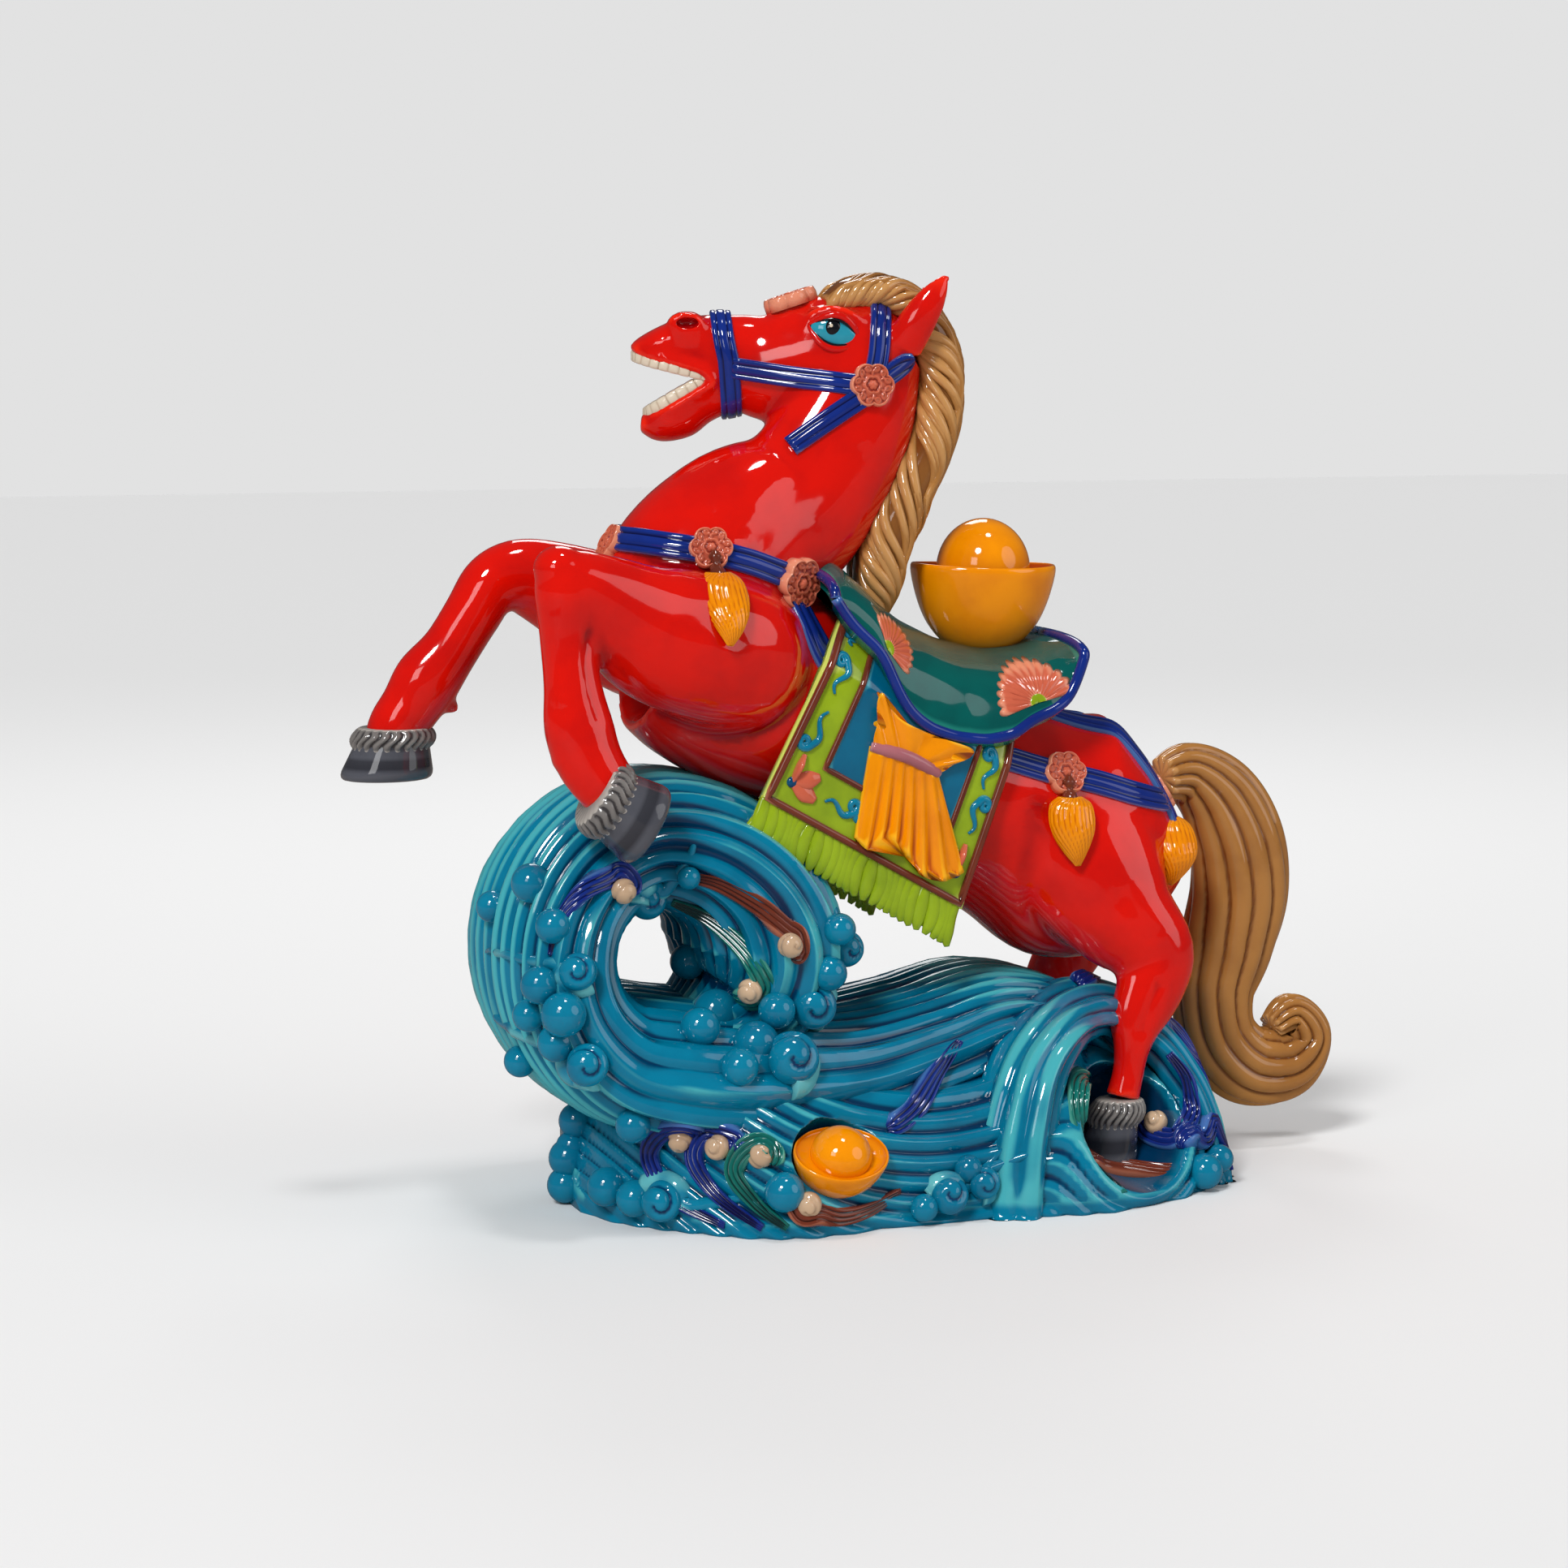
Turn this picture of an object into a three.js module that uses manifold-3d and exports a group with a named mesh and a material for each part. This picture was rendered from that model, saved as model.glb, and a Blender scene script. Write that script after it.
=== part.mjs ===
// Glazed pottery statue: a red horse rears over a curling wave, with a gold ingot on its saddle.
// Millimetres, +Z up, +X towards the tail, -Y towards the side that is seen first.
// It is 460 long, 210 deep and 400 high, with its origin in the middle of that footprint, on the
// surface that it stands on.
import * as THREE from 'three';
import { mergeVertices } from 'three/addons/utils/BufferGeometryUtils.js';
import Module from 'manifold-3d';

const wasm = await Module();
wasm.setup();

// Driving dimensions
const GAP = 0.3;                 // left between pieces that touch
const STRAP_THICKNESS = 3;
const STRAP_WIDTH = 11;
const BRIDLE_WIDTH = 8;
const BLANKET_THICKNESS = 4;
const NEAR = -1;                 // the side at -Y
const FAR = 1;
const REACH = 140;               // longer than half the depth, for cutters that run right through
const ACROSS = new THREE.Vector3(0, 1, 0);
const BODY_SIDES = 14;
const SKULL_SIDES = 10;
const LIMB_SIDES = 8;

// Stations are [x, y, z, up, side]: a point of the path, the half-height square to the path
// and the half-width across it. Those of the trunk and neck lie in the middle plane.
const TRUNK = [
  [-118, 0, 240, 16, 22], [-104, 0, 247, 36, 34], [-85, 0, 241, 45, 40], [-54, 0, 223, 47, 44],
  [-25, 0, 207, 43, 44], [22, 0, 181, 41, 44], [68, 0, 161, 49, 45], [98, 0, 149, 56, 46],
  [122, 0, 146, 44, 40], [138, 0, 147, 27, 28], [147, 0, 150, 11, 12],
];
const NECK = [
  [-90, 0, 226, 34, 32], [-86, 0, 244, 41, 38], [-76, 0, 264, 44, 38], [-56, 0, 284, 42, 33],
  [-28, 0, 304, 34, 26], [-9, 0, 334, 30, 22], [3, 0, 366, 23, 18],
];

// The head is laid out with its poll at the origin, facing -X, and then turned to the far side.
const POLL = new THREE.Vector3(5, 2, 0);
const HEAD_TURN = THREE.MathUtils.degToRad(-17);
const SKULL = [
  [15, 0, 368, 12, 12], [4, 0, 366, 22, 19], [-17, 0, 364, 26, 23], [-35, 0, 359.5, 26.5, 22],
  [-50, 0, 358.5, 24, 18], [-62, 0, 363, 19, 15.5], [-75, 0, 367, 14, 14], [-86, 0, 367.5, 11.5, 14],
  [-95, 0, 366.5, 8.5, 12.5], [-102, 0, 365.5, 4.5, 8],
];
const JAW = [
  [-52, 0, 350, 12, 13], [-66, 0, 344, 10, 12], [-79, 0, 339, 11, 11.5], [-90, 0, 337, 9, 10.5],
  [-98, 0, 340, 3.5, 7],
];
const EAR = [
  [12, 17, 371, 7, 6], [18, 19, 380, 7.5, 5.5], [25, 19.5, 390, 5, 3.5], [30.5, 18, 399.5, 0.8, 0.8],
];
const EYE = { at: [-29, 18.5, 372], radius: 6.5 };
const NOSTRIL = { at: [-83, 11, 374.5], radius: 5.5 };
const BROW = [[-16, 19, 382, 2, 2], [-27, 20, 382, 4, 4], [-38, 18, 377, 2, 2]];

const NEAR_FORELEG = [
  [-44, -24, 234, 22, 16], [-62, -34, 236, 29, 20], [-90, -40, 243, 31, 22], [-113, -44, 251, 28, 19],
  [-134, -48, 265, 19, 15], [-149, -50, 275, 12, 12],
];
const NEAR_CANNON = [
  [-151, -50, 284, 7, 8], [-150, -50, 273, 12.5, 12], [-149.5, -51, 250, 11.5, 11],
  [-148, -53, 230, 12, 11], [-146, -55, 212, 14.5, 12.5], [-142, -57, 198, 14, 12.5],
  [-134, -60, 185, 12.5, 12],
];
const NEAR_FORE_HOOF = [
  [-138, -60, 186, 14, 12.5], [-129, -61, 179, 16.5, 15], [-117.5, -62, 171, 19.5, 17],
];
const FAR_FORELEG = [
  [-70, 30, 235, 28, 18], [-98, 36, 246, 29, 20], [-126, 36, 262, 21, 16], [-148, 35, 269, 16, 14],
  [-159, 34, 266, 13.5, 13], [-168, 34, 253, 12.5, 12], [-178, 34, 238, 12.5, 11.5],
  [-188, 35, 225, 14.5, 12.5], [-195, 36, 214, 13.5, 12], [-202, 37, 205, 13.5, 12.5],
];
const FAR_FORE_HOOF = [[-203.5, 38, 206, 15, 13], [-203, 38, 197, 17, 15.5], [-208, 38, 182, 23.1, 18]];
const NEAR_HINDLEG = [
  [80, -18, 165, 38, 24], [92, -30, 142, 35, 23], [106, -39, 118, 26, 18], [121, -44, 101, 17, 13],
  [116, -47, 87, 16, 11], [108, -50, 72, 12.5, 9], [105, -52, 60, 8, 7.5], [103, -53, 50, 7, 7],
  [100, -54, 40, 7.5, 7.5],
];
const NEAR_HIND_HOOF = [[99, -54, 38, 9.5, 9], [95, -54, 26, 12, 11.5], [92, -54, 10, 14, 13]];

const MANE = [
  [-27, 2, 384, 4, 8], [-14, 2, 389, 7, 12], [2, 2, 392, 7, 14], [18, 2, 386, 9, 15], [30, 2, 370, 11, 16],
  [33, 1, 350, 11, 17], [28, 0, 326, 11, 17], [19, -1, 304, 11, 17], [12, -2, 284, 10, 16],
  [8, -3, 264, 7, 13], [8, -3, 252, 3, 7],
];
const TAIL = [
  [143, 2, 173, 8, 7], [158, 7, 174, 13, 11], [174, 10, 163, 18, 14], [184, 10, 143, 21, 16],
  [186, 10, 118, 22, 17], [180, 10, 94, 21, 16], [173, 10, 72, 18, 15], [176, 10, 51, 17, 15],
  [191, 10, 37, 17, 15], [210, 9, 38, 16, 14], [219, 8, 50, 11, 12], [211, 7, 60, 8, 10],
  [201, 6, 55, 4, 7],
];

// The wave: its eye is the middle of the curl, and every band of water runs round it.
const EYE_OF_WAVE = { x: -105, z: 110 };
// Round the eye, by angle from +X: [degrees, distance, half-width, half-depth]
const CURL = [
  [-62, 43, 10, 40], [-30, 50, 24, 58], [0, 52, 32, 66], [30, 51, 31, 62], [60, 49.5, 30, 56],
  [90, 48.5, 29, 50], [120, 46, 27, 54], [150, 44, 25, 62], [180, 43, 24, 68], [210, 44, 25, 73],
  [240, 46, 27, 78], [270, 48, 29, 82],
];
// From under the eye the same band runs on to the crest behind
const CREST = [
  [-65, 0, 56, 29, 80], [-20, 0, 55, 25, 72], [20, 0, 62, 24, 64], [54, 0, 69, 25, 56],
  [86, 0, 63, 21, 44], [108, 0, 46, 19, 38], [124, 0, 28, 16, 38], [134, 0, 12, 12, 34],
];
// The foot, by place along X: [x, height, half-depth]
const FOOT = [
  [-137, 16, 20], [-130, 40, 42], [-116, 60, 62], [-100, 70, 78], [-84, 76, 92], [-60, 76, 100],
  [-24, 72, 95], [24, 70, 92], [70, 70, 100], [106, 60, 90], [130, 46, 74], [148, 26, 52], [157, 10, 28],
];
const FAR_FOOT = 1.05;            // how much further it reaches on the far side
// The small swirl round the near hind hoof
const SWIRL = [
  [40, -62, 12, 18, 30], [43, -60, 38, 17, 30], [52, -53, 60, 16, 30], [72, -39, 73, 14, 28],
  [95, -28, 76, 13, 26], [117, -26, 66, 12, 26], [132, -30, 46, 10, 26], [140, -34, 22, 10, 26],
];
const HOOF_HOLLOW = { at: [97, -88, 36], radii: [31, 58, 31] };
const INGOT_HOLLOW = { at: [-45, -94, 44], radii: [25, 19, 20] };
// Balls of foam: [x, y, z, radius]
const FOAM = [
  [-170, -28, 140, 8], [-164, -46, 126, 9], [-158, -52, 100, 11], [-150, -62, 78, 10],
  [-118, -60, 137, 11], [-28, -44, 118, 10], [-46, -60, 92, 12], [-62, -64, 74, 12],
  [-76, -34, 84, 10], [-130, -54, 20, 12], [-112, -70, 16, 11], [-72, -96, 22, 9],
  [-8, -90, 14, 9], [140, -44, 12, 10],
];

const RED = { color: 0xc81414, roughness: 0.25, metalness: 0 };
const TURQUOISE = { color: 0x1284a8, roughness: 0.25, metalness: 0 };
const TAN = { color: 0xb4803c, roughness: 0.3, metalness: 0 };
const TEAL = { color: 0x0f6e66, roughness: 0.25, metalness: 0 };
const LIME = { color: 0x7fae2a, roughness: 0.3, metalness: 0 };
const GOLD = { color: 0xf0a010, roughness: 0.25, metalness: 0 };
const NAVY = { color: 0x1c2f7c, roughness: 0.25, metalness: 0 };
const CORAL = { color: 0xe07058, roughness: 0.35, metalness: 0 };
const GREEN = { color: 0x1f7a66, roughness: 0.3, metalness: 0 };
const BROWN = { color: 0x6a3426, roughness: 0.35, metalness: 0 };

// The harness and blanket are laid out along the back: "along" runs from the seat to the tail,
// "above" square to it, both in the middle plane.
const BACK = { x: 24, z: 185, slope: THREE.MathUtils.degToRad(29.7) };
const BLANKET = { front: -74, rear: 31, top: 60, hem: -49, fringe: -67, halfWidth: 48.6, strands: 11 };
// The saddle by place along X: [x, height of the ridge, height of the hem, half-width]
const SADDLE = [
  [-31, 272, 262, 48], [-24, 279, 253, 50], [-10, 266, 238, 52], [8, 251, 212, 53], [28, 241, 199, 54],
  [48, 236, 200, 54], [66, 237, 212, 53], [78, 240, 223, 51], [83, 241, 231, 49],
];
const COLLAR = [[-140, 288], [-108, 286], [-82, 282], [-64, 277], [-42, 269], [-26, 258]];
const GIRTH = [[-46, 265], [-41, 252], [-36.5, 241]];
const CRUPPER_TOP = [[88, 218], [103, 210], [119, 199], [131, 184], [140, 165]];
const CRUPPER_SIDE = [[53, 191], [77, 182], [105, 174], [140, 165]];
const BRIDLE = [
  [[-67, 392], [-65, 362], [-64, 330]],
  [[-64, 359], [-34, 355], [-2, 351]],
  [[-2, 349], [-1, 366], [1, 396]],
  [[-4, 349], [8, 357], [22, 368]],
  [[0, 353], [-17, 339], [-36, 327]],
];
// The drape is tied in its middle: [x, z, thickness, half-width]
const DRAPE = [
  [9, 211, 2.5, 21], [4, 203, 3.5, 20], [-1, 193, 5, 16], [0, 178, 4.5, 20], [3, 150, 3, 26],
];
const LARGE_INGOT = { at: [53, 0, 233], length: 67, width: 56, height: 60, tilt: 4 };
const SMALL_INGOT = { at: [-45, -79, 20], length: 41, width: 34, height: 30, tilt: 0 };

// Each rosette is pressed on where a line meets the body: [name, from, towards]
const ROSETTES = [
  ['forehead', [-27, 13, 500], [0, 0, -1]],
  ['chest', [-300, 0, 284], [1, 0, 0]],
  ['cheek_near', [-4, -300, 351], [0, 1, 0]],
  ['cheek_far', [2, 300, 351], [0, -1, 0]],
];
// and these come in pairs, near and far, by place on the side: [name, x, z]
const PAIRED_ROSETTES = [
  ['breast', -82, 282], ['shoulder', -42, 269], ['croup', 77, 182], ['rump', 138, 166],
];
// Tassels hang from three of each side: [name, x, z of the knot, lean of the tip along X]
const TASSELS = [['breast', -83, 275, 6], ['croup', 76, 174, -2], ['rump', 135, 158, -4]];
const ROSETTE_RADIUS = 8.5;
const TASSEL_LENGTH = 28;

// Striped strips of clay lie on the water, from tail to curled tip. These are drawn in X and Z
// on the near side:
const STRANDS = [
  ['shoulder', NAVY, [[-159, 118], [-155, 132], [-145, 145], [-132, 149], [-128, 141]]],
  ['over_eye', BROWN, [[-100, 147], [-85, 143], [-69, 134], [-58, 123], [-57, 115]]],
  ['beside_eye', GREEN, [[-100, 134], [-86, 127], [-74, 115], [-68, 103], [-75, 95]]],
  ['front_1', NAVY, [[-93, 5], [-110, 14], [-117, 32], [-113, 46], [-106, 42]]],
  ['front_2', NAVY, [[-80, 5], [-96, 18], [-102, 33], [-97, 42], [-91, 36]]],
  ['front_3', GREEN, [[-70, 5], [-82, 15], [-89, 28], [-83, 35], [-77, 29]]],
  ['front_4', BROWN, [[-20, 15], [-38, 10], [-53, 8], [-63, 10], [-60, 15]]],
  ['middle', NAVY, [[21, 71], [8, 60], [-5, 46], [-20, 40]]],
  ['hoof_left', GREEN, [[82, 8], [71, 22], [66, 38], [69, 50], [76, 46]]],
  ['hoof_right', NAVY, [[122, 56], [131, 40], [130, 26], [121, 26]]],
];
// and these lie over the rim of the curl: degrees round the eye, from +X, and place along Y
const RIM_STRANDS = [
  ['rim_brown', BROWN, [[194, -12], [176, -14], [158, -14], [150, -18]]],
  ['rim_navy', NAVY, [[146, -44], [136, -42], [126, -40], [119, -44]]],
  ['rim_top', NAVY, [[100, -26], [93, -30], [86, -34]]],
  ['rim_low', NAVY, [[232, -60], [218, -58], [205, -54], [196, -52]]],
];
// On the far side there are fewer
const FAR_STRANDS = [
  ['far_rim', NAVY, [[150, 44], [138, 42], [126, 40]]],
  ['far_rim_low', GREEN, [[226, 58], [212, 54], [200, 52]]],
];

const group = new THREE.Group();

function addPiece(name, solid, look) {
  const mesh = new THREE.Mesh(toGeometry(solid), new THREE.MeshStandardMaterial(look));
  mesh.name = name;
  group.add(mesh);
  return mesh;
}

function toSolid(geometry) {
  const bare = geometry.clone();
  bare.deleteAttribute('normal');
  bare.deleteAttribute('uv');
  const merged = mergeVertices(bare, 1e-4);
  return new wasm.Manifold(new wasm.Mesh({
    numProp: 3,
    vertProperties: new Float32Array(merged.attributes.position.array),
    triVerts: new Uint32Array(merged.index.array),
  }));
}

function toGeometry(solid) {
  const mesh = solid.getMesh();
  const geometry = new THREE.BufferGeometry();
  geometry.setAttribute('position', new THREE.BufferAttribute(new Float32Array(mesh.vertProperties), 3));
  geometry.setIndex(new THREE.BufferAttribute(new Uint32Array(mesh.triVerts), 1));
  geometry.computeVertexNormals();
  return geometry;
}

function join(solids) {
  return solids.reduce((whole, solid) => whole.add(solid));
}

// The biggest single body of a solid: crumbs that a cut leaves behind are dropped.
function biggest(solid) {
  const bodies = solid.decompose();
  return bodies.reduce((best, body) => (body.volume() > best.volume() ? body : best));
}

// One closed body from rings of equally many points, with a fan on each end
function skin(rings) {
  const count = rings[0].length;
  const positions = [];
  rings.forEach((ring) => ring.forEach((point) => positions.push(point.x, point.y, point.z)));
  const index = [];
  for (let r = 0; r + 1 < rings.length; r += 1) {
    for (let i = 0; i < count; i += 1) {
      const a = r * count + i;
      const b = r * count + ((i + 1) % count);
      index.push(a, b, b + count, a, b + count, a + count);
    }
  }
  [rings[0], rings[rings.length - 1]].forEach((ring, end) => {
    const middle = ring.reduce((sum, point) => sum.add(point), new THREE.Vector3()).divideScalar(count);
    const apex = positions.length / 3;
    positions.push(middle.x, middle.y, middle.z);
    const first = end === 0 ? 0 : (rings.length - 1) * count;
    for (let i = 0; i < count; i += 1) {
      const a = first + i;
      const b = first + ((i + 1) % count);
      index.push(...(end === 0 ? [apex, b, a] : [apex, a, b]));
    }
  });
  const solid = solidFrom(positions, index);
  return solid.volume() < 0 ? solidFrom(positions, flipped(index)) : solid;
}

function flipped(index) {
  return index.map((_, i) => index[i - (i % 3) + [0, 2, 1][i % 3]]);
}

function solidFrom(positions, index) {
  return new wasm.Manifold(new wasm.Mesh({
    numProp: 3,
    vertProperties: new Float32Array(positions),
    triVerts: new Uint32Array(index),
  }));
}

// A tube through stations. Flutes are grooves along it, "depth" deep, and "grow" makes it fatter.
function loft(stations, options = {}) {
  const { sides = 12, flutes = 0, depth = 0, grow = 0, square = 2, across = ACROSS } = options;
  const path = new THREE.CatmullRomCurve3(stations.map(([x, y, z]) => new THREE.Vector3(x, y, z)));
  const sizes = stations.map(([, , , up, side]) => new THREE.Vector3(up, side, 0));
  const size = new THREE.CatmullRomCurve3(sizes, false, 'catmullrom');
  const count = flutes > 0 ? 2 * flutes : sides;
  const angles = Array.from({ length: count }, (_, i) => (2 * Math.PI * i) / count);
  const rings = [];
  const last = stations.length - 1;
  for (let k = 0; k <= last; k += 1) {
    const t = k / last;
    const along = path.getTangent(t);
    const side = across.clone().addScaledVector(along, -along.dot(across)).normalize();
    const up = new THREE.Vector3().crossVectors(along, side);
    const centre = path.getPoint(t);
    if (k === 0) centre.addScaledVector(along, -grow);
    if (k === last) centre.addScaledVector(along, grow);
    const radii = size.getPoint(t);
    const groove = Math.min(depth, 0.3 * Math.min(radii.x, radii.y));
    rings.push(angles.map((angle, i) => {
      const inset = flutes > 0 && i % 2 === 1 ? groove : 0;
      const c = Math.cos(angle);
      const s = Math.sin(angle);
      const u = Math.sign(c) * Math.abs(c) ** (2 / square) * Math.max(radii.x + grow - inset, 0.2);
      const w = Math.sign(s) * Math.abs(s) ** (2 / square) * Math.max(radii.y + grow - inset, 0.2);
      return centre.clone().addScaledVector(up, u).addScaledVector(side, w);
    }));
  }
  return skin(rings);
}

function ball([x, y, z], radii, detail = [8, 6]) {
  const [a, b, c] = Array.isArray(radii) ? radii : [radii, radii, radii];
  const geometry = new THREE.SphereGeometry(1, ...detail);
  geometry.scale(a, b, c);
  geometry.translate(x, y, z);
  return toSolid(geometry);
}

// A plate that runs right through the statue, with an outline drawn in X and Z
function plate(points, from = -REACH, to = REACH) {
  const shape = new THREE.Shape(points.map(([x, z]) => new THREE.Vector2(x, z)));
  const geometry = new THREE.ExtrudeGeometry(shape, { depth: to - from, bevelEnabled: false });
  geometry.rotateX(Math.PI / 2);
  geometry.translate(0, to, 0);
  return toSolid(geometry);
}

// The outline of a band of one width along a line of points
function bandOutline(points, width) {
  const line = points.map(([x, z]) => new THREE.Vector2(x, z));
  const edge = (sign) => line.map((point, i) => {
    const before = line[Math.max(i - 1, 0)];
    const after = line[Math.min(i + 1, line.length - 1)];
    const along = after.clone().sub(before).normalize();
    return [point.x - along.y * sign * width / 2, point.y + along.x * sign * width / 2];
  });
  return [...edge(1), ...edge(-1).reverse()];
}

function mirrored(stations) {
  return stations.map(([x, y, z, ...sizes]) => [x, -y, z, ...sizes]);
}

// Head pieces are built in the head's own frame and turned here.
function turned(solid) {
  const degrees = THREE.MathUtils.radToDeg(HEAD_TURN);
  return solid.rotate([0, 0, degrees]).translate([POLL.x, POLL.y, POLL.z]);
}

function headSolid(grow) {
  const pieces = [
    loft(SKULL, { sides: SKULL_SIDES, grow }),
    loft(JAW, { sides: LIMB_SIDES, grow }),
  ];
  [NEAR, FAR].forEach((side) => {
    const flip = (stations) => (side === NEAR ? mirrored(stations) : stations);
    pieces.push(loft(flip(EAR), { sides: 5, grow }));
    pieces.push(loft(flip(BROW), { sides: 5, grow }));
    pieces.push(ball([EYE.at[0], side * EYE.at[1], EYE.at[2]], EYE.radius + grow, [6, 4]));
    const nostril = [NOSTRIL.at[0], side * NOSTRIL.at[1], NOSTRIL.at[2]];
    pieces.push(ball(nostril, NOSTRIL.radius + grow, [6, 4]));
  });
  return turned(join(pieces));
}

function horseSolid(grow = 0) {
  return join([
    loft(TRUNK, { sides: BODY_SIDES, grow }),
    loft(NECK, { sides: BODY_SIDES, grow }),
    headSolid(grow),
    loft(NEAR_FORELEG, { sides: LIMB_SIDES, grow }),
    loft(NEAR_CANNON, { sides: LIMB_SIDES, grow }),
    loft(NEAR_FORE_HOOF, { sides: LIMB_SIDES, grow }),
    loft(FAR_FORELEG, { sides: LIMB_SIDES, grow }),
    loft(FAR_FORE_HOOF, { sides: LIMB_SIDES, grow }),
    loft(NEAR_HINDLEG, { sides: LIMB_SIDES, grow }),
    loft(NEAR_HIND_HOOF, { sides: LIMB_SIDES, grow }),
    loft(mirrored(NEAR_HINDLEG), { sides: LIMB_SIDES, grow }),
    loft(mirrored(NEAR_HIND_HOOF), { sides: LIMB_SIDES, grow }),
  ]);
}

function curlStations() {
  return CURL.map(([degrees, distance, half, halfDepth]) => {
    const angle = THREE.MathUtils.degToRad(degrees);
    const x = EYE_OF_WAVE.x + distance * Math.cos(angle);
    const z = EYE_OF_WAVE.z + distance * Math.sin(angle);
    return [x, 0, z, half, halfDepth];
  });
}

// The foot is a low fluted mound, flat below.
function footSolid(grow) {
  const arches = 8;
  const rings = FOOT.map(([x, height, halfDepth]) => {
    const points = [];
    for (let i = 0; i <= 2 * arches; i += 1) {
      const angle = (Math.PI * i) / (2 * arches);
      const inset = i % 2 === 1 ? 3 : 0;
      const y = Math.sign(Math.cos(angle)) * Math.abs(Math.cos(angle)) ** 0.8;
      const z = Math.sin(angle) ** 0.9;
      const reach = y < 0 ? FAR_FOOT * halfDepth : halfDepth;
      points.push(new THREE.Vector3(x, -y * (reach + grow - inset), z * (height + grow - inset)));
    }
    return points;
  });
  return skin(rings);
}

function waveSolid(grow = 0) {
  const water = join([
    loft([...curlStations(), ...CREST], { flutes: 11, depth: 3.5, grow, square: 2.6 }),
    loft(SWIRL, { flutes: 6, depth: 2.5, grow }),
    footSolid(grow),
  ]);
  const hollows = [HOOF_HOLLOW, INGOT_HOLLOW].map(({ at, radii }) => (
    ball(at, radii.map((radius) => radius - grow), [8, 6])
  ));
  const foam = FOAM.map(([x, y, z, radius]) => ball([x, y, z], radius + grow, [6, 3]));
  const ground = plate([[-300, 0], [300, 0], [300, -100], [-300, -100]]);
  return join([water.subtract(join(hollows)), ...foam]).subtract(ground);
}

// From the frame of the back to that of the statue
function onBack(solid) {
  return solid.rotate([0, THREE.MathUtils.radToDeg(BACK.slope), 0]).translate([BACK.x, 0, BACK.z]);
}

// A block in the frame of the back
function backBlock(front, rear, low, high, halfWidth) {
  return plate([[front, low], [rear, low], [rear, high], [front, high]], -halfWidth, halfWidth);
}

// The blanket lies on the back and hangs straight from it on both sides, with a hem of strands.
function blanketSolid(grow = 0) {
  const { front, rear, top, hem, fringe, halfWidth, strands } = BLANKET;
  const outline = [[front - 1 - grow, top], [front + 2 - grow, hem]];
  for (let i = 0; i <= 2 * strands; i += 1) {
    const along = front + 3 + ((rear - front + 1) * i) / (2 * strands);
    outline.push([along + (i % 2 === 0 ? 0 : -1.5), i % 2 === 0 ? fringe + 6 : fringe]);
  }
  outline.push([rear + 3 + grow, hem], [rear - 14 + grow, top]);
  const thickness = BLANKET_THICKNESS + GAP + grow;
  const sides = onBack(backBlock(front - 5, rear + 9, fringe - 5, 4, halfWidth + grow));
  const inside = onBack(backBlock(front - 9, rear + 9, fringe - 9, 2, halfWidth - BLANKET_THICKNESS));
  return join([loft(TRUNK, { sides: BODY_SIDES, grow: thickness }), sides])
    .intersect(onBack(plate(outline)))
    .subtract(inside);
}

function saddleSolid() {
  const steps = 8;
  const rings = SADDLE.map(([x, ridge, hem, halfWidth]) => {
    const points = [];
    for (let i = 0; i <= steps; i += 1) {
      const angle = (Math.PI * i) / steps;
      const rise = Math.sin(angle) ** 0.9;
      points.push(new THREE.Vector3(x, -halfWidth * Math.cos(angle), hem + (ridge - hem) * rise));
    }
    return points;
  });
  return skin(rings);
}

// A band that follows the body, where a plate along a line cuts a thicker form of it
function strap(form, lines, width, place = (solid) => solid) {
  const bands = join(lines.map((line) => place(plate(bandOutline(line, width)))));
  return form.intersect(bands).subtract(nearSkin);
}

// A boat-shaped ingot: a deep bowl with an egg in it, its foot at the origin
function ingotSolid({ at, length, width, height, tilt }, lean = 0) {
  const bowl = [[0, 0], [0.16, 0], [0.34, 0.1], [0.46, 0.3], [0.5, 0.64], [0.44, 0.63], [0, 0.6]];
  const geometry = new THREE.LatheGeometry(bowl.map(([r, z]) => new THREE.Vector2(r, z)), 10);
  geometry.rotateX(Math.PI / 2);
  geometry.scale(length, width, height);
  const egg = ball([0, 0, 0.66 * height], [0.31 * length, 0.38 * width, 0.34 * height], [8, 5]);
  return toSolid(geometry).add(egg).rotate([lean, tilt, 0]).translate(at);
}

function drapeSolid(side) {
  const alongBack = new THREE.Vector3(Math.cos(BACK.slope), 0, -Math.sin(BACK.slope));
  const y = side * (BLANKET.halfWidth + 2.5);
  const stations = DRAPE.map(([x, z, thickness, halfWidth]) => [x, y, z, thickness, halfWidth]);
  return loft(stations, { flutes: 6, depth: 1.2, across: alongBack });
}

// Where a line from a point first meets a mesh, and which way the surface faces there
function surfaceAt(mesh, from, towards) {
  const start = new THREE.Vector3(...from);
  const direction = new THREE.Vector3(...towards).normalize();
  const hit = new THREE.Raycaster(start, direction).intersectObject(mesh)[0];
  return hit ? { point: hit.point, facing: hit.face.normal.clone() } : null;
}

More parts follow.
